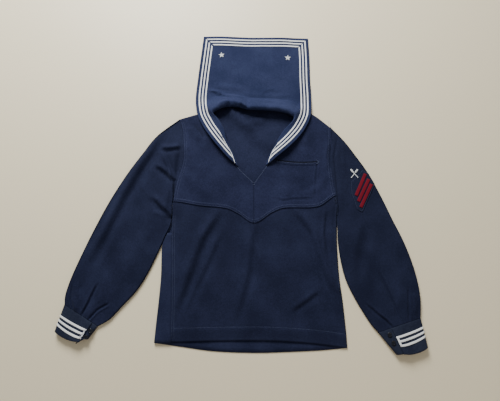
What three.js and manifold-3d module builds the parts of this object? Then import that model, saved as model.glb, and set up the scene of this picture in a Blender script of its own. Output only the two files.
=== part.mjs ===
// A sailor's dress jumper of navy wool, laid flat on its back with the sailor collar turned up.
// It is drawn on its own pattern axes: X from the centre front, towards the wearer's left,
// Y up from the hem and Z up from the floor. The last lines move the origin under its middle.
import * as THREE from "three";
import { mergeVertices } from "three/addons/utils/BufferGeometryUtils.js";
import Module from "manifold-3d";

const wasm = await Module();
wasm.setup();

// Cloth thicknesses and the gap left at every seam
const WOOL = 1.6;
const YOKE_WOOL = 1.0;
const COLLAR_WOOL = 2.2;
const CUFF_WOOL = 2.2;
const TAPE_CLOTH = 0.8;
const SEAM_GAP = 0.35;

// Two layers laid on each other, and the fold between them
const LOFT = 6.8;
const FOLD = LOFT / 2;
const FOLD_ANGLES = [82, 70, 36].map(THREE.MathUtils.degToRad);

// Woven tape in three rows, 3/16 inch wide
const TAPE_WIDTH = 4.76;
const TAPE_ROWS = 3;
const COLLAR_TAPE = { inset: 5.6, pitch: 9.5 };
const CUFF_TAPE = { pitch: 10.4, fromEnd: 0.8 };

const BUTTON = { radius: 5.6, thick: 2.4, rim: 0.7, sides: 12 };
const STAR_RADIUS = 9.2;

// Body, a row for each height: how far out each side, side seam and armhole lies
const UNDERARM = 380;
const BODY_ROWS = [
  { y: 12, right: -251, seam: -206, left: 237 },
  { y: 60, right: -248, seam: -209, left: 235 },
  { y: 130, right: -243, seam: -210, left: 230 },
  { y: 190, right: -240, seam: -212, left: 224 },
  { y: 258, right: -241, seam: -215, left: 222 },
  { y: 278, right: -238.5, seam: -215.5, left: 222 },
  { y: 297, right: -230.5, seam: -216, left: 222.5 },
  { y: 320, right: -220.5, seam: -216, left: 223.5 },
  { y: 345, right: -217, seam: -216, left: 225 },
  { y: UNDERARM, right: -217, seam: -216, left: 228 },
  { y: 435, right: -208, seam: -208, left: 219 },
  { y: 500, right: -192, seam: -192, left: 214 },
  { y: 550, right: -192, seam: -192, left: 218 },
  { y: 596, right: -197, seam: -197, left: 220 },
  { y: 625, right: -206, seam: -206, left: 221 },
];
const SIDE_STRIP_TOP = 306;

// Shoulders and back neck, then both hems, a row for each place across
const TOP_ROWS = [
  { x: -206, y: 625 },
  { x: -148, y: 643 },
  { x: -105, y: 658 },
  { x: -50, y: 668 },
  { x: 50, y: 666 },
  { x: 105, y: 655 },
  { x: 165, y: 641 },
  { x: 220, y: 598 },
];
const HEM_ROWS = [
  { x: -251, front: 26, back: 24 },
  { x: -185, front: 27, back: 15 },
  { x: -100, front: 29, back: 4 },
  { x: 5, front: 30, back: 0 },
  { x: 81, front: 28, back: 2 },
  { x: 169, front: 21, back: 6 },
  { x: 237, front: 12, back: 12 },
];
const HEM_TURN = { depth: 34, extra: 0.8 };

// Neck slit: the V's point, and the yoke's lapped lower edge with its point on the centre seam
const V_POINT = { x: 3, y: 439 };
const YOKE_ROWS = [
  { x: -260, y: 386 },
  { x: -209, y: 388 },
  { x: -143, y: 377 },
  { x: -70, y: 369 },
  { x: -40, y: 355 },
  { x: 3, y: 330 },
  { x: 51, y: 358 },
  { x: 81, y: 370 },
  { x: 176, y: 375 },
  { x: 223, y: 405 },
  { x: 260, y: 412 },
];
const YOKE_CENTRE = 3;
const YOKE_START = 318;

// Sleeves, a row for each section from armhole to cuff: outer and inner fold in plan
const SLEEVE_ROWS = {
  right: [
    { outX: -206, outY: 625, inX: -220.2, inY: 380 },
    { outX: -266, outY: 577, inX: -219.6, inY: 345 },
    { outX: -305, outY: 524, inX: -228.6, inY: 307 },
    { outX: -343, outY: 468, inX: -242.4, inY: 272 },
    { outX: -385, outY: 394, inX: -256, inY: 237 },
    { outX: -419, outY: 322, inX: -275, inY: 195 },
    { outX: -446, outY: 258, inX: -302, inY: 151 },
    { outX: -472, outY: 190, inX: -338, inY: 111 },
    { outX: -484, outY: 145, inX: -366, inY: 81 },
    { outX: -484, outY: 119, inX: -394, inY: 65 },
  ],
  left: [
    { outX: 220, outY: 598, inX: 231.6, inY: 380 },
    { outX: 255, outY: 559, inX: 228.4, inY: 345 },
    { outX: 285, outY: 516, inX: 225.4, inY: 308 },
    { outX: 315, outY: 469, inX: 225.2, inY: 272 },
    { outX: 346, outY: 405, inX: 230.4, inY: 226 },
    { outX: 374, outY: 338, inX: 241, inY: 180 },
    { outX: 401, outY: 275, inX: 262, inY: 133 },
    { outX: 422, outY: 205, inX: 286, inY: 91 },
    { outX: 431, outY: 140, inX: 302, inY: 66 },
    { outX: 427, outY: 85, inX: 316, inY: 50 },
  ],
};

// Cuffs, unbuttoned: the corners at the sleeve seam and at the hand edge, and how far down
// from the seam the middle of the first tape runs, at the outer fold and at the lapped end
const CUFF_CORNERS = {
  right: {
    seamOut: { x: -484.6, y: 118.2 }, seamIn: { x: -394.6, y: 64.2 }, seamLap: { x: -409, y: 73 },
    handOut: { x: -501, y: 54 }, handIn: { x: -416, y: 33 }, handLap: { x: -434, y: 28 },
    tapeAtFold: 27.8, tapeAtLap: 20.8,
  },
  left: {
    seamOut: { x: 427.2, y: 84.2 }, seamIn: { x: 316.2, y: 49.2 }, seamLap: { x: 350.5, y: 60 },
    handOut: { x: 438, y: 15 }, handIn: { x: 358, y: -4 }, handLap: { x: 373.5, y: -1 },
    tapeAtFold: 22.5, tapeAtLap: 24,
  },
};
const BUTTON_PLACES = {
  right: [{ x: -410, y: 54.5 }, { x: -419.4, y: 39.5 }],
  left: [{ x: 343.5, y: 44.5 }, { x: 351, y: 25 }],
};

// Collar, a row for each section round the neck: the fold that shows, the outer edge,
// how high the fold stands, how far its seam is tucked back, how long it takes to settle
// and the height at which the outer edge lies
const ON_FLOOR = COLLAR_WOOL;
const COLLAR_ROWS = [
  { foldX: -41, foldY: 487, edgeX: -49, edgeY: 492, rise: 11, tuck: 0, settle: 5, lies: 14 },
  { foldX: -49, foldY: 512, edgeX: -67, edgeY: 512, rise: 11.5, tuck: 0, settle: 14, lies: 21 },
  { foldX: -62, foldY: 538, edgeX: -94, edgeY: 545, rise: 12.5, tuck: 0, settle: 26, lies: 23 },
  { foldX: -73, foldY: 563, edgeX: -117, edgeY: 577, rise: 14, tuck: 0, settle: 34, lies: 20 },
  { foldX: -79, foldY: 590, edgeX: -136, edgeY: 606, rise: 16, tuck: 0, settle: 34, lies: 16 },
  { foldX: -95, foldY: 620, edgeX: -155, edgeY: 637, rise: 20, tuck: 3, settle: 34, lies: 14 },
  { foldX: -110, foldY: 636, edgeX: -162, edgeY: 686, rise: 24, tuck: 8, settle: 62, lies: 5 },
  { foldX: -103, foldY: 645, edgeX: -158, edgeY: 748, rise: 26, tuck: 11, settle: 56, lies: ON_FLOOR },
  { foldX: -93, foldY: 650, edgeX: -151, edgeY: 818, rise: 27, tuck: 12, settle: 58, lies: ON_FLOOR },
  { foldX: -82, foldY: 654, edgeX: -144, edgeY: 886, rise: 28, tuck: 13, settle: 58, lies: ON_FLOOR },
  { foldX: -66, foldY: 657, edgeX: -95, edgeY: 887, rise: 28, tuck: 12, settle: 58, lies: ON_FLOOR },
  { foldX: -45, foldY: 655, edgeX: -50, edgeY: 885, rise: 28, tuck: 13, settle: 56, lies: ON_FLOOR },
  { foldX: -12, foldY: 648, edgeX: -5, edgeY: 883, rise: 27, tuck: 16, settle: 56, lies: ON_FLOOR },
  { foldX: 22, foldY: 646, edgeX: 45, edgeY: 883, rise: 27, tuck: 17, settle: 56, lies: ON_FLOOR },
  { foldX: 50, foldY: 645, edgeX: 90, edgeY: 883, rise: 27, tuck: 17, settle: 56, lies: ON_FLOOR },
  { foldX: 74, foldY: 642, edgeX: 128, edgeY: 881, rise: 26, tuck: 16, settle: 56, lies: ON_FLOOR },
  { foldX: 88, foldY: 639, edgeX: 163, edgeY: 880, rise: 26, tuck: 15, settle: 58, lies: ON_FLOOR },
  { foldX: 99, foldY: 636, edgeX: 165, edgeY: 818, rise: 25, tuck: 13, settle: 58, lies: ON_FLOOR },
  { foldX: 108, foldY: 631, edgeX: 165, edgeY: 748, rise: 25, tuck: 10, settle: 56, lies: ON_FLOOR },
  { foldX: 114, foldY: 625, edgeX: 166, edgeY: 686, rise: 23, tuck: 7, settle: 62, lies: 5 },
  { foldX: 108, foldY: 613, edgeX: 162, edgeY: 634, rise: 20, tuck: 3, settle: 34, lies: 14 },
  { foldX: 90, foldY: 595, edgeX: 144, edgeY: 593, rise: 16, tuck: 0, settle: 34, lies: 17 },
  { foldX: 77, foldY: 577, edgeX: 120, edgeY: 561, rise: 14, tuck: 0, settle: 34, lies: 21 },
  { foldX: 63, foldY: 551, edgeX: 93, edgeY: 534, rise: 12.5, tuck: 0, settle: 26, lies: 24 },
  { foldX: 47, foldY: 522, edgeX: 65, edgeY: 511, rise: 11.5, tuck: 0, settle: 14, lies: 21 },
  { foldX: 35, foldY: 490, edgeX: 44, edgeY: 493, rise: 11, tuck: 0, settle: 5, lies: 14 },
];
const COLLAR_CORNERS = [9, 16];
const SEAM_HEIGHT = 2.6;
const NECK_CLEARANCE = 3.4;
const NECK_SIDES = [6, 19];
const STARS = [{ x: -91, y: 826, turn: 0.1 }, { x: 102, y: 817, turn: -0.05 }];

// Soft folds, a row for each: where it runs, its half width and its height above the cloth
const BODY_FOLDS = [
  { x1: -67, y1: 352, x2: -120, y2: 250, wide: 15, high: 3.6 },
  { x1: -120, y1: 250, x2: -168, y2: 120, wide: 17, high: 3.6 },
  { x1: 12, y1: 300, x2: -14, y2: 222, wide: 12, high: 2.6 },
  { x1: -14, y1: 222, x2: -26, y2: 110, wide: 12, high: 2.6 },
  { x1: 112, y1: 350, x2: 168, y2: 292, wide: 14, high: 3.2 },
  { x1: 168, y1: 292, x2: 206, y2: 170, wide: 13, high: 3.4 },
];
const SLEEVE_FOLDS = {
  right: [
    { x1: -252, y1: 532, x2: -224, y2: 462, wide: 10, high: 3 },
    { x1: -288, y1: 492, x2: -420, y2: 270, wide: 20, high: 3.2 },
    { x1: -264, y1: 395, x2: -330, y2: 215, wide: 20, high: 3 },
    { x1: -412, y1: 185, x2: -458, y2: 118, wide: 12, high: 3.6 },
    { x1: -372, y1: 140, x2: -428, y2: 92, wide: 11, high: 3.6 },
    { x1: -345, y1: 116, x2: -404, y2: 80, wide: 8, high: 3 },
    { x1: -416, y1: 150, x2: -443, y2: 99, wide: 3.4, high: -4.5 },
    { x1: -385, y1: 109, x2: -420, y2: 85, wide: 3.4, high: -4.5 },
    { x1: -473, y1: 146, x2: -470, y2: 112, wide: 3.2, high: -3 },
  ],
  left: [
    { x1: 262, y1: 500, x2: 352, y2: 300, wide: 22, high: 3 },
    { x1: 250, y1: 350, x2: 300, y2: 190, wide: 20, high: 3 },
    { x1: 395, y1: 190, x2: 392, y2: 100, wide: 12, high: 3.6 },
    { x1: 340, y1: 140, x2: 362, y2: 84, wide: 11, high: 3.8 },
    { x1: 300, y1: 100, x2: 336, y2: 66, wide: 9, high: 3 },
    { x1: 354, y1: 164, x2: 377, y2: 87, wide: 3.4, high: -4.5 },
    { x1: 313, y1: 105, x2: 353, y2: 72, wide: 3.4, high: -4.5 },
    { x1: 408, y1: 122, x2: 405, y2: 90, wide: 3.2, high: -3 },
  ],
};

// Chest pocket and the badge on the wearer's left sleeve
const WELT = { x1: 64, y1: 499, x2: 175, y2: 494, wide: 8, sag: 4 };
const BARS = [
  { x1: 278.5, y1: 404, x2: 307, y2: 465 },
  { x1: 284, y1: 388, x2: 315.5, y2: 450 },
  { x1: 289.5, y1: 372, x2: 322, y2: 436 },
];
const BAR_WIDTH = 8.6;
const BADGE_LIFT = 1.3;
const BADGE_PATCH = [
  { x: 266, y: 441 }, { x: 300, y: 476 }, { x: 316, y: 468 }, { x: 332, y: 437 },
  { x: 293, y: 358 }, { x: 280, y: 366 }, { x: 266, y: 410 },
];
const OARS = { x: 277.5, y: 466, length: 31, shaft: 2.2, blade: 5.2, bladeLength: 10, lean: 0.66 };

const materials = {
  wool: new THREE.MeshStandardMaterial({ color: 0x1d2236, roughness: 0.9, metalness: 0 }),
  collarWool: new THREE.MeshStandardMaterial({ color: 0x2a324d, roughness: 0.88, metalness: 0 }),
  whiteTape: new THREE.MeshStandardMaterial({ color: 0xf4f2ea, roughness: 0.75, metalness: 0 }),
  redBraid: new THREE.MeshStandardMaterial({ color: 0x9c1b34, roughness: 0.8, metalness: 0 }),
  whiteThread: new THREE.MeshStandardMaterial({ color: 0xf2f2f0, roughness: 0.7, metalness: 0 }),
  button: new THREE.MeshStandardMaterial({ color: 0x11131c, roughness: 0.35, metalness: 0 }),
};

// A smooth line through one column of a table, read by its first column
function column(rows, along, across) {
  const last = rows.length - 1;
  return (value) => {
    let k = 0;
    while (k < last - 1 && rows[k + 1][along] < value) k += 1;
    const before = rows[Math.max(k - 1, 0)];
    const after = rows[Math.min(k + 2, last)];
    const [a, b] = [rows[k], rows[k + 1]];
    const span = b[along] - a[along];
    const t = THREE.MathUtils.clamp((value - a[along]) / span, 0, 1);
    const slopeA = (b[across] - before[across]) / (b[along] - before[along]) * span;
    const slopeB = (after[across] - a[across]) / (after[along] - a[along]) * span;
    const t2 = t * t;
    const t3 = t2 * t;
    return (2 * t3 - 3 * t2 + 1) * a[across] + (t3 - 2 * t2 + t) * slopeA
      + (3 * t2 - 2 * t3) * b[across] + (t3 - t2) * slopeB;
  };
}

const sideX = {
  right: column(BODY_ROWS, "y", "right"),
  seam: column(BODY_ROWS, "y", "seam"),
  left: column(BODY_ROWS, "y", "left"),
};
const shoulderY = column(TOP_ROWS, "x", "y");
const hemY = { front: column(HEM_ROWS, "x", "front"), back: column(HEM_ROWS, "x", "back") };

// How far a set of soft folds lifts or sinks the cloth at one place
function foldHeight(folds, x, y) {
  let height = 0;
  for (const fold of folds) {
    const runX = fold.x2 - fold.x1;
    const runY = fold.y2 - fold.y1;
    const length = Math.hypot(runX, runY);
    const along = ((x - fold.x1) * runX + (y - fold.y1) * runY) / length;
    const aside = Math.abs((x - fold.x1) * runY - (y - fold.y1) * runX) / length;
    const past = Math.max(-along, along - length, 0);
    const far = (aside / fold.wide) ** 2 + (past / (2 * fold.wide)) ** 2;
    height += fold.high * Math.exp(-far);
  }
  return height;
}

// Steps across a panel: even ones, with a fold's own steps at either edge
function acrossSteps(count, foldAtStart, foldAtEnd) {
  const fold = FOLD_ANGLES.map((angle) => (
    { off: FOLD * (1 - Math.sin(angle)), drop: FOLD * (1 - Math.cos(angle)), angle }));
  const steps = [];
  if (foldAtStart) fold.forEach((f) => steps.push({ ...f, at: 0, turn: -1 }));
  for (let k = 0; k <= count; k += 1) {
    let off = 0;
    if (k === 0 && foldAtStart) off = FOLD;
    if (k === count && foldAtEnd) off = -FOLD;
    steps.push({ at: k / count, off, drop: 0, angle: 0, turn: 0 });
  }
  if (foldAtEnd) fold.reverse().forEach((f) => steps.push({ ...f, at: 1, off: -f.off, turn: 1 }));
  return steps;
}

// Outward normals of a grid of points: from each row to the next, turned towards the next column
function gridNormals(grid, closed) {
  const rows = grid.length;
  const cols = grid[0].length;
  return grid.map((row, i) => row.map((_, j) => {
    const before = closed ? (j + cols - 1) % cols : Math.max(j - 1, 0);
    const after = closed ? (j + 1) % cols : Math.min(j + 1, cols - 1);
    const along = new THREE.Vector3().subVectors(row[after], row[before]);
    const down = grid[Math.min(i + 1, rows - 1)][j];
    const up = grid[Math.max(i - 1, 0)][j];
    return new THREE.Vector3().subVectors(down, up).cross(along).normalize();
  }));
}

// A closed body between two grids of points, the outer one first
function between(outer, inner, closed) {
  const rows = outer.length;
  const cols = outer[0].length;
  const positions = [];
  for (const grid of [outer, inner]) {
    for (const row of grid) for (const p of row) positions.push(p.x, p.y, p.z);
  }
  const index = [];
  const at = (side, i, j) => side * rows * cols + i * cols + (j % cols);
  const quad = (a, b, c, d) => index.push(a, c, b, a, d, c);
  const spans = closed ? cols : cols - 1;
  for (let i = 0; i < rows - 1; i += 1) {
    for (let j = 0; j < spans; j += 1) {
      quad(at(0, i, j), at(0, i, j + 1), at(0, i + 1, j + 1), at(0, i + 1, j));
      quad(at(1, i, j), at(1, i + 1, j), at(1, i + 1, j + 1), at(1, i, j + 1));
    }
  }
  for (let j = 0; j < spans; j += 1) {
    quad(at(0, 0, j + 1), at(0, 0, j), at(1, 0, j), at(1, 0, j + 1));
    quad(at(0, rows - 1, j), at(0, rows - 1, j + 1), at(1, rows - 1, j + 1), at(1, rows - 1, j));
  }
  for (let i = 0; !closed && i < rows - 1; i += 1) {
    quad(at(0, i, 0), at(0, i + 1, 0), at(1, i + 1, 0), at(1, i, 0));
    quad(at(0, i + 1, cols - 1), at(0, i, cols - 1), at(1, i, cols - 1), at(1, i + 1, cols - 1));
  }
  const geometry = new THREE.BufferGeometry();
  geometry.setAttribute("position", new THREE.Float32BufferAttribute(positions, 3));
  geometry.setIndex(index);
  return geometry;
}

// Points of a grid moved out along their normals; a negative distance moves them in
function moved(grid, normals, distance) {
  return grid.map((row, i) => row.map((p, j) => {
    const by = typeof distance === "function" ? distance(p) : distance;
    return p.clone().addScaledVector(normals[i][j], by);
  }));
}

// Cloth as a wall inside a grid of outer points
function wall(grid, thick, closed = false) {
  const inwards = typeof thick === "function" ? (p) => -thick(p) : -thick;
  return between(grid, moved(grid, gridNormals(grid, closed), inwards), closed);
}

// Height of a grid's upper surface over one place
function heightOn(grid, x, y) {
  let best = -Infinity;
  const test = (a, b, c) => {
    const area = (b.x - a.x) * (c.y - a.y) - (c.x - a.x) * (b.y - a.y);
    if (Math.abs(area) < 1e-9) return;
    const v = ((x - a.x) * (c.y - a.y) - (c.x - a.x) * (y - a.y)) / area;
    const w = ((b.x - a.x) * (y - a.y) - (x - a.x) * (b.y - a.y)) / area;
    if (v < -1e-6 || w < -1e-6 || v + w > 1 + 1e-6) return;
    best = Math.max(best, a.z + v * (b.z - a.z) + w * (c.z - a.z));
  };
  for (let i = 0; i < grid.length - 1; i += 1) {
    for (let j = 0; j < grid[0].length - 1; j += 1) {
      test(grid[i][j], grid[i][j + 1], grid[i + 1][j + 1]);
      test(grid[i][j], grid[i + 1][j + 1], grid[i + 1][j]);
    }
  }
  return best;
}

// A strip of tape or braid laid on a surface: its edges in plan, from left to right
function strip(edges, surface, thick) {
  const under = edges.map((edge) => edge.map((p) => (
    new THREE.Vector3(p.x, p.y, heightOn(surface, p.x, p.y) + SEAM_GAP))));
  const over = under.map((row) => row.map((p) => new THREE.Vector3(p.x, p.y, p.z + thick)));
  return between(over, under, false);
}

// A straight strip from one end to the other, in short steps
function straightStrip(from, to, width, surface, thick, sag = 0, steps = 8) {
  const run = new THREE.Vector2(to.x - from.x, to.y - from.y);
  const side = new THREE.Vector2(-run.y, run.x).normalize().multiplyScalar(width / 2);
  const edge = (sign) => Array.from({ length: steps + 1 }, (_, k) => {
    const t = k / steps;
    return {
      x: from.x + run.x * t + side.x * sign,
      y: from.y + run.y * t + side.y * sign - sag * 4 * t * (1 - t),
    };
  });
  return strip([edge(1), edge(-1)], surface, thick);
}

function toSolid(geometry) {
  const plain = geometry.clone();
  plain.deleteAttribute("normal");
  plain.deleteAttribute("uv");
  const merged = mergeVertices(plain, 1e-4);
  return new wasm.Manifold(new wasm.Mesh({
    numProp: 3,
    vertProperties: new Float32Array(merged.attributes.position.array),
    triVerts: new Uint32Array(merged.index.array),
  }));
}

function toGeometry(solid) {
  const mesh = solid.getMesh();
  const geometry = new THREE.BufferGeometry();
  geometry.setAttribute("position", new THREE.BufferAttribute(mesh.vertProperties, 3));
  geometry.setIndex(new THREE.BufferAttribute(mesh.triVerts, 1));
  return geometry;
}

// An upright block on an outline, used to cut cloth to its pattern line, and a line past
// the shoulders that such an outline runs up to
const CUT_HEIGHT = 80;
const PAST_SHOULDERS = 760;
function cutter(outline) {
  const shape = new THREE.Shape(outline.map((p) => new THREE.Vector2(p.x, p.y)));
  const block = new THREE.ExtrudeGeometry(shape, { depth: CUT_HEIGHT, bevelEnabled: false });
  block.translate(0, 0, -CUT_HEIGHT / 4);
  return toSolid(block);
}

// One body panel's outer points: plan from its four edges, height from a function of place
const FRONT_STEPS = 18;
const BACK_STEPS = 6;
const STEPS_UP = 20;
const FOLD_FADE = 16;
const MID_BODY = 300;

function panelGrid({ start, end, hem, across, up, height }) {
  return up.map((row) => across.map((col) => {
    const middle = THREE.MathUtils.lerp(start(MID_BODY), end(MID_BODY), col.at);
    const low = hem(middle);
    const high = shoulderY(middle);
    const y = THREE.MathUtils.lerp(low, high, row.at) + row.off;
    const width = end(y) - start(y);
    const x = start(y) + width * col.at + col.off;
    return new THREE.Vector3(x, y, height(x, y, col, row));
  }));
}

// The fold at a side opens out flat above the underarm, where the sleeve joins on
function foldShare(y) {
  return 1 - THREE.MathUtils.smoothstep(y, UNDERARM - FOLD_FADE, UNDERARM);
}

// Rows from the shoulder down to the hem, with the shoulder fold's own steps at the top
const upSteps = (count) => acrossSteps(count, false, true).reverse();

function frontGrid() {
  return panelGrid({
    start: (y) => sideX.seam(y) + (y > UNDERARM ? 0 : SEAM_GAP),
    end: sideX.left,
    hem: hemY.front,
    across: acrossSteps(FRONT_STEPS, false, true),
    up: upSteps(STEPS_UP),
    height: (x, y, col, row) => LOFT + foldHeight(BODY_FOLDS, x, y)
      - col.drop * foldShare(y) - row.drop,
  });
}

// Neck slit in plan: outside the collar's fold on both sides and down to the V's point
function neckOutline() {
  const last = COLLAR_ROWS.length - 1;
  const line = (from, to) => COLLAR_ROWS.slice(from, to).map((row, k) => {
    const run = collarFold.getTangent((from + k) / last);
    const away = new THREE.Vector2(-run.y, run.x);
    const out = row.tuck + NECK_CLEARANCE;
    return { x: row.foldX + away.x * out, y: row.foldY + away.y * out };
  });
  const rightSide = line(0, NECK_SIDES[0] + 1);
  const leftSide = line(NECK_SIDES[1], COLLAR_ROWS.length);
  return [
    V_POINT,
    ...leftSide.reverse(),
    { x: leftSide[leftSide.length - 1].x, y: PAST_SHOULDERS },
    { x: rightSide[rightSide.length - 1].x, y: PAST_SHOULDERS },
    ...rightSide.reverse(),
  ];
}

function frontPanel(grid, neck) {
  const thick = (p) => {
    const inHem = p.y < hemY.front(p.x) + HEM_TURN.depth && p.z > FOLD;
    return WOOL + (inHem ? HEM_TURN.extra : 0);
  };
  return toGeometry(toSolid(wall(grid, thick)).subtract(neck));
}

// The yoke lies on the front and is made from the front's own points, moved out
function yokeHalf(grid, neck, side) {
  const lastRow = grid.findIndex((row) => row[0].y < YOKE_START);
  const part = grid.slice(0, lastRow + 1);
  const normals = gridNormals(grid, false).slice(0, lastRow + 1);
  const under = moved(part, normals, SEAM_GAP);
  const over = moved(part, normals, SEAM_GAP + YOKE_WOOL);
  const halfRows = YOKE_ROWS.filter((row) => side * (row.x - YOKE_CENTRE) >= 0);
  const lower = halfRows.map((row) => ({
    x: row.x === YOKE_CENTRE ? row.x + side * SEAM_GAP / 2 : row.x,
    y: row.y,
  }));
  const outline = side < 0
    ? [...lower, { x: YOKE_CENTRE - SEAM_GAP / 2, y: PAST_SHOULDERS }, { x: lower[0].x, y: PAST_SHOULDERS }]
    : [...lower, { x: lower[lower.length - 1].x, y: PAST_SHOULDERS }, { x: lower[0].x, y: PAST_SHOULDERS }];
  return toGeometry(toSolid(between(over, under, false)).intersect(cutter(outline)).subtract(neck));
}

// Back panel: flat on the floor, its edges turned up to meet the front at the folds
function backPanel() {
  const neckSide = 140;
  const neckFade = 8;
  const grid = panelGrid({
    start: sideX.right,
    end: sideX.left,
    hem: hemY.back,
    across: acrossSteps(BACK_STEPS, true, true),
    up: upSteps(STEPS_UP),
    height: (x, y, col, row) => col.drop * foldShare(y)
      + row.drop * THREE.MathUtils.smoothstep(Math.abs(x), neckSide - neckFade, neckSide),
  });
  const flipped = grid.map((row) => row.slice().reverse());
  const flat = toSolid(wall(flipped, WOOL));
  return toGeometry(flat.add(toSolid(sideStrip())));
}

// The back wraps over the wearer's right fold as far as the side seam on the front
function sideStrip() {
  const rows = 12;
  const angles = [100, 78, 52, 26, 0].map(THREE.MathUtils.degToRad);
  const grid = Array.from({ length: rows + 1 }, (_, k) => {
    const middle = THREE.MathUtils.lerp(hemY.back(BODY_ROWS[0].right), SIDE_STRIP_TOP, 1 - k / rows);
    const edge = sideX.right(middle);
    const seam = sideX.seam(middle);
    const points = angles.map((angle) => new THREE.Vector3(
      edge + FOLD * (1 - Math.sin(angle)), middle, LOFT - FOLD * (1 - Math.cos(angle))));
    points.push(new THREE.Vector3((edge + FOLD + seam) / 2, middle, LOFT));
    points.push(new THREE.Vector3(seam, middle, LOFT));
    return points;
  });
  return wall(grid, WOOL);
}

// Sleeve: a tube laid flat, its front layer full and creased, its back layer on the floor
const SLEEVE_SECTIONS = 17;
const SLEEVE_FRONT_STEPS = 11;
const SLEEVE_BACK_STEPS = 3;
const ARMHOLE_LAP = 3;
const ARMHOLE_GAP = 0.6;
const ARMHOLE_ROOM = 40;

function sleeveGrids(side) {
  const rows = SLEEVE_ROWS[side];
  const sign = side === "left" ? 1 : -1;
  const curve = (x, y) => new THREE.SplineCurve(rows.map((row) => new THREE.Vector2(row[x], row[y])));
  const outerFold = curve("outX", "outY");
  const innerFold = curve("inX", "inY");
  const armhole = sideX[side];
  const front = acrossSteps(SLEEVE_FRONT_STEPS, true, true).map((s) => ({ ...s, front: true }));
  const back = acrossSteps(SLEEVE_BACK_STEPS, true, true).map((s) => ({ ...s, front: false }));
  const loop = side === "left" ? [...front.reverse(), ...back] : [...front, ...back.reverse()];
  const grid = (thick) => Array.from({ length: SLEEVE_SECTIONS + 1 }, (_, k) => {
    const t = k / SLEEVE_SECTIONS;
    const outer = outerFold.getPoint(t);
    const inner = innerFold.getPoint(t);
    const run = new THREE.Vector2().subVectors(inner, outer);
    const length = run.length();
    return loop.map((step) => {
      const inwards = step.turn * thick * Math.sin(step.angle);
      const share = step.at + (step.off - inwards) / length;
      const p = outer.clone().addScaledVector(run, share);
      const chordX = THREE.MathUtils.lerp(rows[0].outX, rows[0].inX, share);
      const chordY = THREE.MathUtils.lerp(rows[0].outY, rows[0].inY, share);
      const fromUnderarm = Math.min(1, 8 * (1 - share));
      p.x += (armhole(chordY) - sign * ARMHOLE_LAP - chordX) * fromUnderarm * (1 - t) ** 6;
      const folds = step.angle ? 0 : foldHeight(SLEEVE_FOLDS[side], p.x, p.y) * Math.min(1, t * 8);
      const upwards = thick * Math.cos(step.angle);
      const z = step.front ? LOFT - step.drop + folds - upwards : step.drop + upwards;
      return new THREE.Vector3(p.x, p.y, z);
    });
  });
  return { outer: grid(0), inner: grid(WOOL) };
}

// The armhole edge of the body, with room for the seam, to trim the sleeve's end on
function armholeCutter(front, side) {
  const col = side === "left" ? front[0].length - 1 : 0;
  const sign = side === "left" ? 1 : -1;
  const edge = front.map((row) => row[col].y).filter((y) => y > UNDERARM - ARMHOLE_ROOM);
  const outline = edge.map((y) => ({ x: sideX[side](y) + sign * ARMHOLE_GAP, y }));
  const first = outline[0];
  const last = outline[outline.length - 1];
  outline.unshift({ x: first.x, y: first.y + ARMHOLE_ROOM });
  outline.push({ x: last.x - sign * ARMHOLE_ROOM, y: last.y });
  outline.push({ x: first.x - sign * ARMHOLE_ROOM, y: first.y + ARMHOLE_ROOM });
  return cutter(outline);
}

// The part of a sleeve's points that shows from above
function sleeveFront(grid) {
  return grid.map((row) => row.slice(0, SLEEVE_FRONT_STEPS + 1 + 2 * FOLD_ANGLES.length));
}

// Cuff: a band round the wrist end, open, its taped end lapped over the buttoned end
const CUFF_SECTIONS = 3;
const CUFF_LAP = 9;
const CUFF_FOLD = 3.7;
const CUFF_HAND_FOLD = 8;
const CUFF_LIFT = CUFF_WOOL + SEAM_GAP;
const CUFF_LAID = { lifted: 12, down: 31 };
const CUFF_TURN = 3;
const TURN_STEPS = 3;

const along = (from, to, share) => new THREE.Vector2(
  THREE.MathUtils.lerp(from.x, to.x, share), THREE.MathUtils.lerp(from.y, to.y, share));

// The cuff stands more open towards its hand edge: the radius of its folds there
const cuffFold = (share) => THREE.MathUtils.lerp(CUFF_FOLD, CUFF_HAND_FOLD, share);

// A half turn at one of the cuff's folds, from above to below or back up
function cuffTurn(edge, away, radius, downwards) {
  const centre = edge.clone().addScaledVector(away, -radius);
  return Array.from({ length: TURN_STEPS + 1 }, (_, k) => {
    const angle = Math.PI * (downwards ? k / TURN_STEPS : 1 - k / TURN_STEPS);
    const out = radius * Math.sin(angle);
    return new THREE.Vector3(
      centre.x + away.x * out, centre.y + away.y * out, radius * (1 + Math.cos(angle)));
  });
}

// One section, from the taped end over the top, round both folds and under the lap again
function cuffSection(side, share) {
  const c = CUFF_CORNERS[side];
  const outer = along(c.seamOut, c.handOut, share);
  const inner = along(c.seamIn, c.handIn, share);
  const lap = along(c.seamLap, c.handLap, share);
  const toOuter = new THREE.Vector2().subVectors(outer, lap).normalize();
  const toInner = new THREE.Vector2().subVectors(inner, outer).normalize();
  const back = new THREE.Vector2().subVectors(lap, inner).normalize();
  const radius = cuffFold(share);
  const lay = (from, way, distance, z) => {
    const p = from.clone().addScaledVector(way, distance);
    return new THREE.Vector3(p.x, p.y, z);
  };
  return [
    lay(lap, toOuter, 0, 2 * radius + CUFF_LIFT),
    lay(lap, toOuter, CUFF_LAID.lifted, 2 * radius + CUFF_LIFT),
    lay(lap, toOuter, CUFF_LAID.down, 2 * radius),
    ...cuffTurn(outer, toOuter, radius, true),
    ...cuffTurn(inner, toInner, radius, false),
    lay(lap, back, CUFF_LAP, 2 * radius),
  ];
}

function cuffSections(side) {
  return Array.from({ length: CUFF_SECTIONS + 1 }, (_, k) => {
    const section = cuffSection(side, k / CUFF_SECTIONS);
    return side === "right" ? section.reverse() : section;
  });
}

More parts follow.
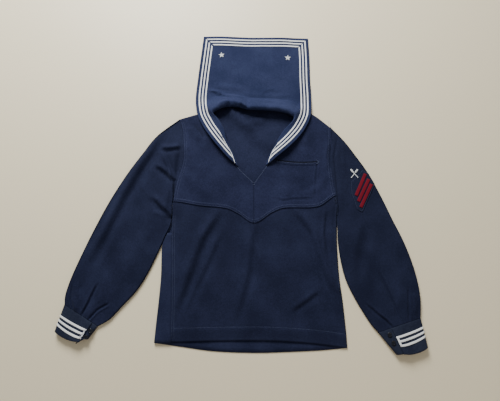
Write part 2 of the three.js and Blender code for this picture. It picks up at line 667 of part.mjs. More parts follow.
// How high a button sits on the lapped end: just clear of the cloth under its whole rim
function buttonHeight(side, { x, y }) {
  const cloth = cuffSections(side);
  const heights = Array.from({ length: BUTTON.sides }, (_, k) => {
    const angle = (2 * Math.PI * k) / BUTTON.sides;
    const rim = { x: x + BUTTON.radius * Math.cos(angle), y: y + BUTTON.radius * Math.sin(angle) };
    return heightOn(cloth, rim.x, rim.y);
  });
  return Math.max(...heights) + SEAM_GAP;
}

// A point on the cuff's upper face: at one of its section's points or part of the way to the
// next one, and as far down from the seam as the tapes run there
function onCuff(side, spot, down) {
  const c = CUFF_CORNERS[side];
  const lapDepth = Math.hypot(c.handLap.x - c.seamLap.x, c.handLap.y - c.seamLap.y);
  const outDepth = Math.hypot(c.handOut.x - c.seamOut.x, c.handOut.y - c.seamOut.y);
  const pick = (section) => section[spot.point].clone().lerp(section[spot.point + 1], spot.part);
  const middle = cuffSection(side, 0.5);
  const across = pick(middle).distanceTo(middle[0]) / middle[CUFF_TURN].distanceTo(middle[0]);
  const slant = across * (c.tapeAtFold - c.tapeAtLap);
  const share = (down + slant) / THREE.MathUtils.lerp(lapDepth, outDepth, across);
  const p = pick(cuffSection(side, share));
  return p.setZ(p.z + SEAM_GAP);
}

function cuffStrip(side, spots, from, to) {
  const under = [from, to].map((down) => spots.map((spot) => onCuff(side, spot, down)));
  if (side === "right") under.reverse();
  const over = under.map((row) => row.map((p) => new THREE.Vector3(p.x, p.y, p.z + TAPE_CLOTH)));
  return between(over, under, false);
}

function cuffTape(side, row) {
  const start = (CUFF_TAPE.fromEnd + TAPE_WIDTH + SEAM_GAP) / CUFF_LAID.lifted;
  const spots = [start, 1, 2, CUFF_TURN, CUFF_TURN + 0.5].map((place) => (
    { point: Math.floor(place), part: place % 1 }));
  const middle = CUFF_CORNERS[side].tapeAtLap + row * CUFF_TAPE.pitch;
  return cuffStrip(side, spots, middle - TAPE_WIDTH / 2, middle + TAPE_WIDTH / 2);
}

function cuffEndTape(side) {
  const first = CUFF_CORNERS[side].tapeAtLap - TAPE_WIDTH / 2;
  const last = first + (TAPE_ROWS - 1) * CUFF_TAPE.pitch + TAPE_WIDTH;
  const spots = [CUFF_TAPE.fromEnd, CUFF_TAPE.fromEnd + TAPE_WIDTH].map((distance) => (
    { point: 0, part: distance / CUFF_LAID.lifted }));
  return cuffStrip(side, spots, first, last);
}

// Collar: one sheet from its neck seam, up over a standing fold and out to its edge
const COLLAR_BETWEEN = 2;
const SETTLE_SHARE = 0.8;
const FLAT_STEPS = 2;
const COLLAR_CREST = 4;
const TAPES_CLOSE = { width: [30, 60], to: 0.68 };

function collarCurve(x, y, from, to) {
  const points = COLLAR_ROWS.slice(from, to + 1).map((row) => new THREE.Vector2(row[x], row[y]));
  return new THREE.SplineCurve(points);
}

const collarFold = collarCurve("foldX", "foldY", 0, COLLAR_ROWS.length - 1);
const collarEdges = [0, ...COLLAR_CORNERS].map((from, k, starts) => {
  const to = starts[k + 1] ?? COLLAR_ROWS.length - 1;
  return { from, to, curve: collarCurve("edgeX", "edgeY", from, to) };
});

function collarEdge(station) {
  const part = collarEdges.find((edge) => station <= edge.to);
  return part.curve.getPoint((station - part.from) / (part.to - part.from));
}

function collarValue(station, name) {
  const k = Math.min(Math.floor(station), COLLAR_ROWS.length - 2);
  return THREE.MathUtils.lerp(COLLAR_ROWS[k][name], COLLAR_ROWS[k + 1][name], station - k);
}

const collarStations = Array.from(
  { length: (COLLAR_ROWS.length - 1) * COLLAR_BETWEEN + 1 }, (_, k) => k / COLLAR_BETWEEN);

function collarSection(station) {
  const fold = collarFold.getPoint(station / (COLLAR_ROWS.length - 1));
  const edge = collarEdge(station);
  const out = new THREE.Vector2().subVectors(edge, fold);
  const length = out.length();
  out.normalize();
  const rise = collarValue(station, "rise");
  const tuck = collarValue(station, "tuck");
  const lies = collarValue(station, "lies");
  const settle = Math.min(collarValue(station, "settle"), SETTLE_SHARE * length);
  const climb = rise - SEAM_HEIGHT;
  const profile = [
    [tuck, SEAM_HEIGHT],
    [0.4 * tuck, SEAM_HEIGHT + 0.3 * climb],
    [0, SEAM_HEIGHT + 0.68 * climb],
    [0.04 * settle + 0.6, SEAM_HEIGHT + 0.92 * climb],
    [0.16 * settle + 1.2, rise],
    [0.42 * settle, THREE.MathUtils.lerp(rise, lies, 0.3)],
    [0.74 * settle, THREE.MathUtils.lerp(rise, lies, 0.84)],
    [settle, lies],
  ];
  for (let k = 1; k <= FLAT_STEPS; k += 1) {
    profile.push([THREE.MathUtils.lerp(settle, length, k / FLAT_STEPS), lies]);
  }
  return profile.map(([along, z]) => (
    new THREE.Vector3(fold.x + out.x * along, fold.y + out.y * along, z)));
}

// The collar's edge moved in by a distance, mitred at its corners and closed up where a lapel
// stands on its edge and narrows in plan
function collarInset(distance) {
  const corners = COLLAR_CORNERS.map(collarEdge);
  const stations = collarStations.filter((station) => corners.every((corner) => {
    const away = collarEdge(station).distanceTo(corner);
    return away === 0 || away > distance + 2;
  }));
  const points = stations.map(collarEdge);
  return points.map((p, k) => {
    const before = points[Math.max(k - 1, 0)];
    const after = points[Math.min(k + 1, points.length - 1)];
    const sides = [[before, p], [p, after]]
      .filter(([a, b]) => a.distanceTo(b) > 0)
      .map(([a, b]) => new THREE.Vector2(b.y - a.y, a.x - b.x).normalize());
    const [first, last] = [sides[0], sides[sides.length - 1]];
    const mitre = first.clone().add(last).divideScalar(1 + first.dot(last));
    const fold = collarFold.getPoint(stations[k] / (COLLAR_ROWS.length - 1));
    const width = Math.abs((fold.x - p.x) * first.x + (fold.y - p.y) * first.y);
    const open = THREE.MathUtils.smoothstep(width, ...TAPES_CLOSE.width);
    const closed = THREE.MathUtils.lerp(TAPES_CLOSE.to, 1, open);
    return { x: p.x + mitre.x * distance * closed, y: p.y + mitre.y * distance * closed };
  });
}

// Each tape is cut from the collar's own points, moved out
function collarTape(row, grid) {
  const face = grid.map((section) => section.slice(COLLAR_CREST));
  const normals = gridNormals(grid, false).map((section) => section.slice(COLLAR_CREST));
  const under = moved(face, normals, SEAM_GAP);
  const over = moved(face, normals, SEAM_GAP + TAPE_CLOTH);
  const inset = COLLAR_TAPE.inset + row * COLLAR_TAPE.pitch;
  const outline = [...collarInset(inset), ...collarInset(inset + TAPE_WIDTH).reverse()];
  return toGeometry(toSolid(between(over, under, false)).intersect(cutter(outline)));
}

function star({ x, y, turn }) {
  const shape = new THREE.Shape();
  const points = 5;
  const inner = 0.42;
  for (let k = 0; k < 2 * points; k += 1) {
    const radius = k % 2 ? STAR_RADIUS * inner : STAR_RADIUS;
    const angle = Math.PI / 2 + turn + (k * Math.PI) / points;
    const [px, py] = [radius * Math.cos(angle), radius * Math.sin(angle)];
    if (k) shape.lineTo(px, py);
    else shape.moveTo(px, py);
  }
  const geometry = new THREE.ExtrudeGeometry(shape, { depth: TAPE_CLOTH, bevelEnabled: false });
  geometry.translate(x, y, ON_FLOOR + SEAM_GAP);
  return geometry;
}

function button() {
  const { radius, thick, rim } = BUTTON;
  const profile = [
    [0, 0], [radius - rim, 0], [radius, rim], [radius, thick - rim],
    [radius - rim, thick], [radius * 0.62, thick], [radius * 0.5, thick - rim], [0, thick - rim],
  ];
  const points = profile.map(([r, z]) => new THREE.Vector2(r, z));
  return new THREE.LatheGeometry(points, BUTTON.sides).rotateX(Math.PI / 2);
}

// Crossed oars: two thin paddles on one backing, of thread, for the sleeve badge
function oars(surface) {
  const { x, y, length, shaft, blade, bladeLength, lean } = OARS;
  const solids = [-1, 1].flatMap((sign) => {
    const along = { x: sign * Math.sin(lean), y: Math.cos(lean) };
    const end = (share) => ({ x: x + along.x * length * share, y: y + along.y * length * share });
    const bladeFrom = 0.5 - bladeLength / length;
    return [
      toSolid(straightStrip(end(-0.5), end(bladeFrom + 0.02), shaft, surface, TAPE_CLOTH, 0, 3)),
      toSolid(straightStrip(end(bladeFrom), end(0.5), blade, surface, TAPE_CLOTH, 0, 2)),
    ];
  });
  return toGeometry(solids.reduce((all, solid) => all.add(solid)));
}

// The badge's navy backing, cut from the sleeve's own points moved out
function badgePatch(grid) {
  const normals = gridNormals(grid, false);
  const under = moved(grid, normals, SEAM_GAP);
  const over = moved(grid, normals, SEAM_GAP + TAPE_CLOTH);
  return toGeometry(toSolid(between(over, under, false)).intersect(cutter(BADGE_PATCH)));
}

const jumper = new THREE.Group();

function add(name, geometry, material, place = { x: 0, y: 0, z: 0 }) {
  const mesh = new THREE.Mesh(geometry, material);
  mesh.name = name;
  mesh.position.set(place.x, place.y, place.z);
  jumper.add(mesh);
  return mesh;
}

// The badge: its backing on the sleeve, and the bars and the oars on the backing
function addBadge(sleeve) {
  const raised = sleeve.map((row) => row.map((p) => (
    new THREE.Vector3(p.x, p.y, p.z + BADGE_LIFT))));
  add("badge_backing", badgePatch(sleeve), materials.wool);
  BARS.forEach((bar, k) => {
    const ends = [{ x: bar.x1, y: bar.y1 }, { x: bar.x2, y: bar.y2 }];
    const braid = straightStrip(ends[0], ends[1], BAR_WIDTH, raised, TAPE_CLOTH);
    add(`badge_bar_${k + 1}`, braid, materials.redBraid);
  });
  add("badge_oars", oars(raised), materials.whiteThread);
}

const neck = cutter(neckOutline());
const front = frontGrid();
add("back_panel", backPanel(), materials.wool);
add("front_panel", frontPanel(front, neck), materials.wool);
add("front_yoke_right", yokeHalf(front, neck, -1), materials.wool);
add("front_yoke_left", yokeHalf(front, neck, 1), materials.wool);

const yokeTop = front.map((row) => row.map((p) => (
  new THREE.Vector3(p.x, p.y, p.z + SEAM_GAP + YOKE_WOOL))));
add("pocket_welt", straightStrip(
  { x: WELT.x1, y: WELT.y1 }, { x: WELT.x2, y: WELT.y2 }, WELT.wide, yokeTop, TAPE_CLOTH, WELT.sag),
materials.wool);

for (const side of ["right", "left"]) {
  const sleeve = sleeveGrids(side);
  const tube = toSolid(between(sleeve.outer, sleeve.inner, true));
  add(`sleeve_${side}`, toGeometry(tube.subtract(armholeCutter(front, side))), materials.wool);
  add(`cuff_${side}`, wall(cuffSections(side), CUFF_WOOL), materials.wool);
  for (let row = 0; row < TAPE_ROWS; row += 1) {
    add(`cuff_${side}_tape_${row + 1}`, cuffTape(side, row), materials.whiteTape);
  }
  add(`cuff_${side}_tape_end`, cuffEndTape(side), materials.whiteTape);
  BUTTON_PLACES[side].forEach((place, k) => {
    const z = buttonHeight(side, place);
    add(`button_${side}_${k + 1}`, button(), materials.button, { ...place, z });
  });
  if (side === "left") addBadge(sleeveFront(sleeve.outer));
}

const collar = collarStations.map(collarSection);
add("collar", wall(collar, COLLAR_WOOL), materials.collarWool);
for (let row = 0; row < TAPE_ROWS; row += 1) {
  add(`collar_tape_${row + 1}`, collarTape(row, collar), materials.whiteTape);
}
STARS.forEach((place, k) => add(`star_${["right", "left"][k]}`, star(place), materials.whiteThread));

// The origin goes under the middle of the whole garment, on the floor
const box = new THREE.Box3().setFromObject(jumper);
const middle = box.getCenter(new THREE.Vector3());
jumper.position.set(-middle.x, -middle.y, -box.min.z);

export default jumper;
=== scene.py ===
import bpy
import numpy as np
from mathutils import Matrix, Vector
from mathutils.bvhtree import BVHTree


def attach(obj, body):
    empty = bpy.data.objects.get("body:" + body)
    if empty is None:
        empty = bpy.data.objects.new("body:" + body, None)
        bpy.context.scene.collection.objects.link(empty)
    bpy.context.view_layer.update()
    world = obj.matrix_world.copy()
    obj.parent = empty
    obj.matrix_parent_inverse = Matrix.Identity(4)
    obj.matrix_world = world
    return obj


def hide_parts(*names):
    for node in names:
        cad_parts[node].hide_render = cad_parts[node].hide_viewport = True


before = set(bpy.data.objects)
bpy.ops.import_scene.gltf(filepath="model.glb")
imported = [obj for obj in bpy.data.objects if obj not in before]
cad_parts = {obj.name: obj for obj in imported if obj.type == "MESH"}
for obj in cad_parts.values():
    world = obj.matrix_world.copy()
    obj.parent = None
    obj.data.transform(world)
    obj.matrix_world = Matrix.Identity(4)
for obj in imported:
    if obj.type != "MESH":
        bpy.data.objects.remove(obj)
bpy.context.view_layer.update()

# Back
# One piece of wool melton, a felted cloth with a brushed face. It lies flat on the floor, its
# edges turned up to meet the front, and at the wearer's right it wraps over to the side seam.
ORIGIN = np.array([-31.52, 441.624, 0.0])
WOOL = 1.6
SEAM_GAP = 0.35
LOFT = 6.8
FOLD = LOFT / 2
UNDERARM = 380
FOLD_FADE = 16
SIDE_STRIP_TOP = 306


def table(names, *rows):
    """A short table of numbers, as columns by name."""
    return dict(zip(names.split(), np.array(rows, float).T))


BODY = table(
    "y right seam left",
    (12, -251, -206, 237),
    (60, -248, -209, 235),
    (130, -243, -210, 230),
    (190, -240, -212, 224),
    (258, -241, -215, 222),
    (278, -238.5, -215.5, 222),
    (297, -230.5, -216, 222.5),
    (320, -220.5, -216, 223.5),
    (345, -217, -216, 225),
    (UNDERARM, -217, -216, 228),
    (435, -208, -208, 219),
    (500, -192, -192, 214),
    (550, -192, -192, 218),
    (596, -197, -197, 220),
    (625, -206, -206, 221),
)
TOP = table(
    "x y",
    (-206, 625), (-148, 643), (-105, 658), (-50, 668), (50, 666), (105, 655), (165, 641), (220, 598),
)
HEM = table(
    "x front back",
    (-251, 26, 24),
    (-185, 27, 15),
    (-100, 29, 4),
    (5, 30, 0),
    (81, 28, 2),
    (169, 21, 6),
    (237, 12, 12),
)


def blend(t, start, end, start_slope, end_slope):
    """The smooth way from a start to an end that leaves and arrives at given slopes."""
    return (
        (2 * t**3 - 3 * t**2 + 1) * start
        + (t**3 - 2 * t**2 + t) * start_slope
        + (3 * t**2 - 2 * t**3) * end
        + (t**3 - t**2) * end_slope
    )


def line(xs, ys):
    """A smooth line through a table's points, to read at any value."""
    slopes = np.zeros(len(ys))
    slopes[1:-1] = (ys[2:] - ys[:-2]) / (xs[2:] - xs[:-2])
    slopes[0] = (ys[1] - ys[0]) / (xs[1] - xs[0])
    slopes[-1] = (ys[-1] - ys[-2]) / (xs[-1] - xs[-2])

    def read(value):
        value = np.clip(value, xs[0], xs[-1])
        k = np.clip(np.searchsorted(xs, value, side="right") - 1, 0, len(xs) - 2)
        span = xs[k + 1] - xs[k]
        t = (value - xs[k]) / span
        return blend(t, ys[k], ys[k + 1], slopes[k] * span, slopes[k + 1] * span)

    return read


right_edge = line(BODY["y"], BODY["right"])
side_seam = line(BODY["y"], BODY["seam"])
left_edge = line(BODY["y"], BODY["left"])
shoulder = line(TOP["x"], TOP["y"])
front_hem = line(HEM["x"], HEM["front"])
back_hem = line(HEM["x"], HEM["back"])


def smoothstep(low, high, value):
    """A soft step from 0 at the low value to 1 at the high one."""
    t = np.clip((value - low) / (high - low), 0, 1)
    return t * t * (3 - 2 * t)


ROLL_ANGLES = np.radians([0, 14, 28, 42, 56, 70, 82, 90])


def steps(count, fold_at_start, fold_at_end):
    """Even shares from 0 to 1 across a panel, with closer ones where a fold rolls over."""
    roll = FOLD * (1 - np.cos(ROLL_ANGLES))
    shares = np.linspace(0, 1, count + 1)
    offsets = np.zeros(count + 1)
    if fold_at_start:
        shares = np.concatenate([np.zeros(len(roll)), shares[1:]])
        offsets = np.concatenate([roll, offsets[1:]])
    if fold_at_end:
        shares = np.concatenate([shares[:-1], np.ones(len(roll))])
        offsets = np.concatenate([offsets[:-1], -roll[::-1]])
    return shares, offsets


def rolled(distance):
    """How far cloth has dropped at a distance in from its folded edge."""
    inside = np.clip(1 - distance / FOLD, 0, 1)
    return FOLD * (1 - np.sqrt(1 - inside**2))


# A panel's plan starts from the middle of the body and settles in a few rounds
MID_BODY = 290.0
PLAN_ROUNDS = 8


def patch(low, high, start, end, up, across):
    """Plan of a four-sided panel, from its lower, upper, start and end lines."""
    (rows, row_offsets), (cols, col_offsets) = up, across
    v, u = np.meshgrid(rows, cols, indexing="ij")
    y = np.full(v.shape, MID_BODY)
    x = np.zeros(v.shape)
    for _ in range(PLAN_ROUNDS):
        x = start(y) + (end(y) - start(y)) * u + col_offsets[None, :]
        y = low(x) + (high(x) - low(x)) * v + row_offsets[:, None]
    return x, y


# The highest that u exp(-u^2) reaches is 0.43
FALL_PEAK = 1 / 0.43
# The share of its path over which a fold dies away at each end
FOLD_END = 0.25


def crease(x, y, path, wide, ridge, fall):
    """Height of one soft fold along a path: a ridge on it, and a fall of the cloth from the
    path's right side to its left. Both die away at the path's ends."""
    path = np.array(path, float)
    runs = np.diff(path, axis=0)
    lengths = np.linalg.norm(runs, axis=1)
    before = np.concatenate([[0], np.cumsum(lengths)])
    nearest = np.full(x.shape, np.inf)
    share = np.zeros(x.shape)
    side = np.zeros(x.shape)
    for start, run, length, passed in zip(path, runs, lengths, before):
        way = run / length
        dx, dy = x - start[0], y - start[1]
        along = np.clip(dx * way[0] + dy * way[1], 0, length)
        away = np.hypot(dx - way[0] * along, dy - way[1] * along)
        closer = away < nearest
        nearest = np.where(closer, away, nearest)
        share = np.where(closer, (passed + along) / before[-1], share)
        side = np.where(closer, np.sign(dx * way[1] - dy * way[0]), side)
    u = side * nearest / wide
    ends = smoothstep(0, FOLD_END, share) * smoothstep(0, FOLD_END, 1 - share)
    return ends * np.exp(-(u**2)) * (ridge + FALL_PEAK * fall * u)


def creased(x, y, rows):
    """Height of several folds together."""
    return sum(crease(x, y, *row) for row in rows)


def rumple(x, y, size, depth):
    """The faint waves that laid cloth never quite loses."""
    return depth * (
        np.sin(x / size + 0.7 * np.sin(y / size / 1.7))
        + 0.6 * np.sin(1.3 * y / size + 1.1 * np.sin(0.8 * x / size + 1.0))
        + 0.4 * np.sin(1.9 * (x + 0.6 * y) / size + 2.0)
    )


def joined(grids):
    """Grids of points as one list of points and quads, where points that meet are one."""
    points, quads, first = [], [], 0
    for grid in grids:
        rows, cols = grid.shape[:2]
        k = first + np.arange(rows * cols).reshape(rows, cols)
        corners = [k[:-1, :-1], k[:-1, 1:], k[1:, 1:], k[1:, :-1]]
        quads.append(np.stack(corners, axis=-1).reshape(-1, 4))
        points.append(grid.reshape(-1, 3))
        first += rows * cols
    points = np.concatenate(points)
    _, keep, index = np.unique(
        np.round(points, 3), axis=0, return_index=True, return_inverse=True)
    return points[keep], index.reshape(-1)[np.concatenate(quads)]


def unit(vectors):
    """Vectors made one unit long, except where they have no length."""
    return vectors / np.maximum(np.linalg.norm(vectors, axis=-1, keepdims=True), 1e-9)


def normals_of(points, quads):
    """The way that a sheet faces at each of its points."""
    corners = [points[quads[:, k]] for k in range(4)]
    face = np.cross(corners[2] - corners[0], corners[3] - corners[1])
    total = np.zeros_like(points)
    for k in range(4):
        np.add.at(total, quads[:, k], face)
    return unit(total)


def rim_of(quads, count):
    """The directed edges that only one quad has."""
    pairs = np.concatenate([quads[:, [k, (k + 1) % 4]] for k in range(4)])
    pairs = pairs[pairs[:, 0] != pairs[:, 1]]
    forth = pairs[:, 0] * count + pairs[:, 1]
    back = pairs[:, 1] * count + pairs[:, 0]
    return pairs[~np.isin(forth, back)]


def wall(points, quads, thick, round_edge=0.25):
    """Cloth of some thickness under a sheet of points, with a rounded edge."""
    normals = normals_of(points, quads)
    count = len(points)
    inner = points - normals * thick
    rim = rim_of(quads, count)
    outwards = np.zeros_like(points)
    sides = np.cross(points[rim[:, 1]] - points[rim[:, 0]], normals[rim[:, 0]])
    np.add.at(outwards, rim[:, 0], sides)
    np.add.at(outwards, rim[:, 1], sides)
    edge = np.unique(rim)
    middle = (points[edge] + inner[edge]) / 2 + unit(outwards[edge]) * thick * round_edge
    place = np.zeros(count, int)
    place[edge] = 2 * count + np.arange(len(edge))
    a, b = rim[:, 0], rim[:, 1]
    faces = [
        quads,
        quads[:, ::-1] + count,
        np.stack([b, a, place[a], place[b]], axis=1),
        np.stack([place[b], place[a], a + count, b + count], axis=1),
    ]
    return np.concatenate([points, inner, middle]), np.concatenate(faces)


def add_piece(name, points, faces, material, slot):
    """A mesh from points on the pattern's axes, in the part's metres, that rides on the part."""
    mesh = bpy.data.meshes.new(name)
    places = (np.asarray(points) - ORIGIN) / 1000
    corners = [tuple(dict.fromkeys(face)) for face in np.asarray(faces).tolist()]
    mesh.from_pydata(places.tolist(), [], [face for face in corners if len(face) > 2])
    mesh.shade_smooth()
    mesh.materials.append(material)
    piece = bpy.data.objects.new(name, mesh)
    bpy.context.scene.collection.objects.link(piece)
    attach(piece, "root")
    return piece


LOOK = {"Colour": "NodeSocketColor", "Roughness": "NodeSocketFloat", "Height": "NodeSocketFloat"}


def node_group(name, colours, numbers):
    """An empty shader node group that takes colours and numbers by name, and its input node."""
    group = bpy.data.node_groups.new(name, "ShaderNodeTree")
    for kind, inputs in (("NodeSocketColor", colours), ("NodeSocketFloat", numbers)):
        for label, value in inputs.items():
            socket = group.interface.new_socket(name=label, in_out="INPUT", socket_type=kind)
            socket.default_value = value
    for label, kind in LOOK.items():
        group.interface.new_socket(name=label, in_out="OUTPUT", socket_type=kind)
    return group, group.nodes.new("NodeGroupInput").outputs


def put_out(group, *values):
    """A node group's colour, roughness and height, as what it puts out."""
    end = group.nodes.new("NodeGroupOutput")
    for label, value in zip(LOOK, values):
        group.links.new(value, end.inputs[label])


def texture(tree, kind, settings, links):
    """One node in a tree, with its settings and what feeds it."""
    node = tree.nodes.new(kind)
    for label, value in settings.items():
        if label in node.inputs:
            node.inputs[label].default_value = value
        else:
            setattr(node, label, value)
    for label, source in links.items():
        tree.links.new(source, node.inputs[label])
    return node


def math(tree, operation, a, b):
    """Two values, each a number or a socket, added, multiplied or the like."""
    node = tree.nodes.new("ShaderNodeMath")
    node.operation = operation
    for socket, value in zip(node.inputs, (a, b)):
        if isinstance(value, (int, float)):
            socket.default_value = value
        else:
            tree.links.new(value, socket)
    return node.outputs[0]


def above(tree, value, level, gain):
    """How far a value stands above a level, times a gain."""
    return math(tree, "MULTIPLY", math(tree, "SUBTRACT", value, level), gain)


def rough_from(tree, value, gain, least):
    """A roughness that grows from its least with a value."""
    return math(tree, "ADD", math(tree, "MULTIPLY", value, gain), least)


def mix(tree, mask, a, b):
    """Colour a where a mask is 0 and colour b where it is 1."""
    node = tree.nodes.new("ShaderNodeMix")
    node.data_type = "RGBA"
    tree.links.new(mask, node.inputs["Factor"])
    for label, colour in (("A", a), ("B", b)):
        socket = [s for s in node.inputs if s.name == label and s.type == "RGBA"][0]
        tree.links.new(colour, socket)
    return [s for s in node.outputs if s.type == "RGBA"][0]


def brushed_wool():
    """Felted wool: mottled dye, a short nap that runs down the cloth, and a trace of twill."""
    group, given = node_group(
        "Brushed wool",
        {"Dye": (0.01, 0.014, 0.035, 1), "Worn": (0.03, 0.04, 0.07, 1)},
        {"Mottle": 0.35, "Twill": 0.15})
    place = group.nodes.new("ShaderNodeTexCoord").outputs["Object"]
    nap = texture(group, "ShaderNodeMapping", {"Scale": (1.0, 0.35, 1.0)}, {"Vector": place})
    cloud = texture(group, "ShaderNodeTexNoise", {"Scale": 14.0, "Detail": 4.0}, {"Vector": place})
    clump = texture(
        group, "ShaderNodeTexNoise", {"Scale": 170.0, "Detail": 5.0, "Roughness": 0.65},
        {"Vector": place})
    speck = texture(
        group, "ShaderNodeTexNoise", {"Scale": 430.0, "Detail": 2.0, "Roughness": 0.6},
        {"Vector": place})
    fibre = texture(
        group, "ShaderNodeTexNoise", {"Scale": 1500.0, "Detail": 3.0, "Roughness": 0.7},
        {"Vector": nap.outputs[0]})
    rib = texture(
        group, "ShaderNodeTexWave",
        {"wave_type": "BANDS", "bands_direction": "DIAGONAL", "Scale": 130.0, "Distortion": 1.5,
         "Detail": 2.0, "Detail Scale": 3.0},
        {"Vector": place})
    broad = above(group, cloud.outputs["Fac"], 0.4, 2.6)
    fine = above(group, clump.outputs["Fac"], 0.35, 1.6)
    grain = above(group, speck.outputs["Fac"], 0.5, 2.6)
    patches = math(group, "ADD", math(group, "ADD", broad, fine), grain)
    worn = math(group, "MULTIPLY", patches, given["Mottle"])
    limited = texture(group, "ShaderNodeClamp", {}, {"Value": worn}).outputs[0]
    colour = mix(group, limited, given["Dye"], given["Worn"])
    ribs = math(group, "MULTIPLY", rib.outputs["Fac"], given["Twill"])
    height = math(group, "ADD", math(group, "ADD", fibre.outputs["Fac"], clump.outputs["Fac"]), ribs)
    put_out(group, colour, rough_from(group, clump.outputs["Fac"], 0.14, 0.82), height)
    return group


BRUSHED_WOOL = brushed_wool()


def finish(name, group, settings, shader, bump):
    """A material whose look comes from one node group. Its bump is a strength and a depth."""
    material = bpy.data.materials.new(name)
    material.use_nodes = True
    tree = material.node_tree
    surface = tree.nodes["Principled BSDF"]
    look = tree.nodes.new("ShaderNodeGroup")
    look.node_tree = group
    for label, value in settings.items():
        look.inputs[label].default_value = value
    for label, value in shader.items():
        surface.inputs[label].default_value = value
    tree.links.new(look.outputs["Colour"], surface.inputs["Base Color"])
    tree.links.new(look.outputs["Roughness"], surface.inputs["Roughness"])
    relief = tree.nodes.new("ShaderNodeBump")
    relief.inputs["Strength"].default_value, relief.inputs["Distance"].default_value = bump
    tree.links.new(look.outputs["Height"], relief.inputs["Height"])
    tree.links.new(relief.outputs["Normal"], surface.inputs["Normal"])
    return material


def wool(name, dye, worn, mottle=0.6, twill=0.15, sheen=0.05):
    """Brushed wool in two colours, its dye and where it is worn."""
    return finish(
        name, BRUSHED_WOOL,
        {"Dye": (*dye, 1), "Worn": (*worn, 1), "Mottle": mottle, "Twill": twill},
        {"Sheen Weight": sheen, "Sheen Roughness": 0.45, "Sheen Tint": (0.55, 0.65, 1, 1),
         "Specular IOR Level": 0.2},
        (0.55, 0.0006))


back_wool = wool("Back wool", (0.008, 0.0112, 0.034), (0.024, 0.0295, 0.072))
BACK_ROWS = 60
BACK_COLUMNS = 40
# The neck hole's half width, and the heights from which the back is crumpled inside it
NECK_SIDE = 140
CRUMPLED_FROM = (430, 480)
# Each fold's path, its half width, its ridge and how far the cloth falls across it
INSIDE_FOLDS = [
    ([(-74, 676), (-56, 646), (-30, 618), (10, 588)], 11, 15.0, 0.0),
    ([(-46, 660), (-22, 634), (14, 624), (40, 612)], 7, 9.0, 0.0),
    ([(-30, 606), (4, 572), (46, 552), (86, 546)], 11, 5.0, 0.0),
    ([(-76, 596), (-52, 540), (-16, 480)], 14, 2.6, 1.6),
]


def fold_share(y):
    """The fold at a side opens out flat above the underarm, where the sleeve joins on."""
    return 1 - smoothstep(UNDERARM - FOLD_FADE, UNDERARM, y)


back_x, back_y = patch(
    back_hem, shoulder, right_edge, left_edge,
    steps(BACK_ROWS, False, True), steps(BACK_COLUMNS, True, True))
side_drop = rolled(back_x - right_edge(back_y)) + rolled(left_edge(back_y) - back_x)
back_z = side_drop * fold_share(back_y)
back_z += rolled(shoulder(back_x) - back_y) * smoothstep(NECK_SIDE - 8, NECK_SIDE, np.abs(back_x))
back_z += np.maximum(0, creased(back_x, back_y, INSIDE_FOLDS)) * smoothstep(*CRUMPLED_FROM, back_y)
back_under = np.stack([back_x, back_y, back_z], axis=-1)
strip_angles = np.radians(np.arange(0, 91, 15))
strip_middle = np.linspace(0.2, 1, 5)


def side_strip(rows):
    """The back's edge, from the fold at the floor's height over to the side seam."""
    grid = []
    for edge_x, y, _ in rows[:, 0]:
        seam = side_seam(y)
        over = [
            (edge_x + FOLD * (1 - np.cos(a)), y, FOLD + FOLD * np.sin(a)) for a in strip_angles]
        lay = [(edge_x + FOLD + (seam - edge_x - FOLD) * s, y, LOFT) for s in strip_middle]
        grid.append(over + lay)
    return np.array(grid)


def together(*solids):
    """Several meshes' points and quads as one mesh."""
    points = np.concatenate([solid[0] for solid in solids])
    starts = np.cumsum([0] + [len(solid[0]) for solid in solids[:-1]])
    return points, np.concatenate([solid[1] + start for solid, start in zip(solids, starts)])


strip_rows = back_under[back_under[:, 0, 1] < SIDE_STRIP_TOP]
strip_solid = wall(*joined([side_strip(strip_rows)]), WOOL)
flat_solid = wall(*joined([back_under[:, ::-1]]), WOOL)
back = add_piece("back", *together(flat_solid, strip_solid), back_wool, "wool")
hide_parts("back_panel")

# Front
# The front is cut like the back, open down to the point of the neck slit. It lies over the
# back in long soft folds that run down from the yoke, and its hem is turned up and stitched.
front_wool = wool("Front wool", (0.0056, 0.008, 0.026), (0.0185, 0.0235, 0.06))
V_POINT = (3, 439)
NECK_RIGHT = table(
    "y x", V_POINT[::-1], (487, -44), (512, -52), (538, -65), (563, -76), (590, -83), (620, -101),
    (640, -120), (670, -121))
NECK_LEFT = table(
    "y x", V_POINT[::-1], (490, 38), (522, 50), (551, 66), (577, 80), (595, 93), (613, 113),
    (630, 125), (670, 126))
neck_right = line(NECK_RIGHT["y"], NECK_RIGHT["x"])
neck_left = line(NECK_LEFT["y"], NECK_LEFT["x"])

FRONT_ROWS = 190
FRONT_COLUMNS = 72
FRONT_FOLDS = [
    ([(-70, 378), (-109, 324), (-132, 284), (-147, 244), (-164, 193), (-180, 142), (-206, 74)],
     15, 1.8, 4.6),
    ([(-76, 318), (-118, 218), (-150, 155), (-177, 76)], 10, 0.0, 1.9),
    ([(10, 346), (0, 284), (-8, 205), (-21, 155), (-34, 105), (-50, 68)], 13, 0.6, 2.8),
    ([(97, 374), (133, 337), (154, 302), (168, 257), (182, 211), (199, 167), (226, 126)], 12, 1.6, -4.4),
    ([(197, 372), (188, 297), (196, 236)], 5, 0.0, 2.4),
    ([(210, 372), (208, 300), (206, 236)], 4, 0.9, 0.0),
    ([(95, 98), (135, 125), (176, 154)], 9, 0.0, -2.2),
    ([(-196, 352), (-192, 280), (-197, 190)], 12, 0.9, 0.0),
    ([(60, 340), (84, 280), (92, 200)], 18, 0.8, 0.0),
    ([(30, 190), (66, 120), (70, 70)], 16, 0.7, 0.0),
    ([(-104, 150), (-84, 110), (-76, 66)], 12, -0.8, 0.0),
]
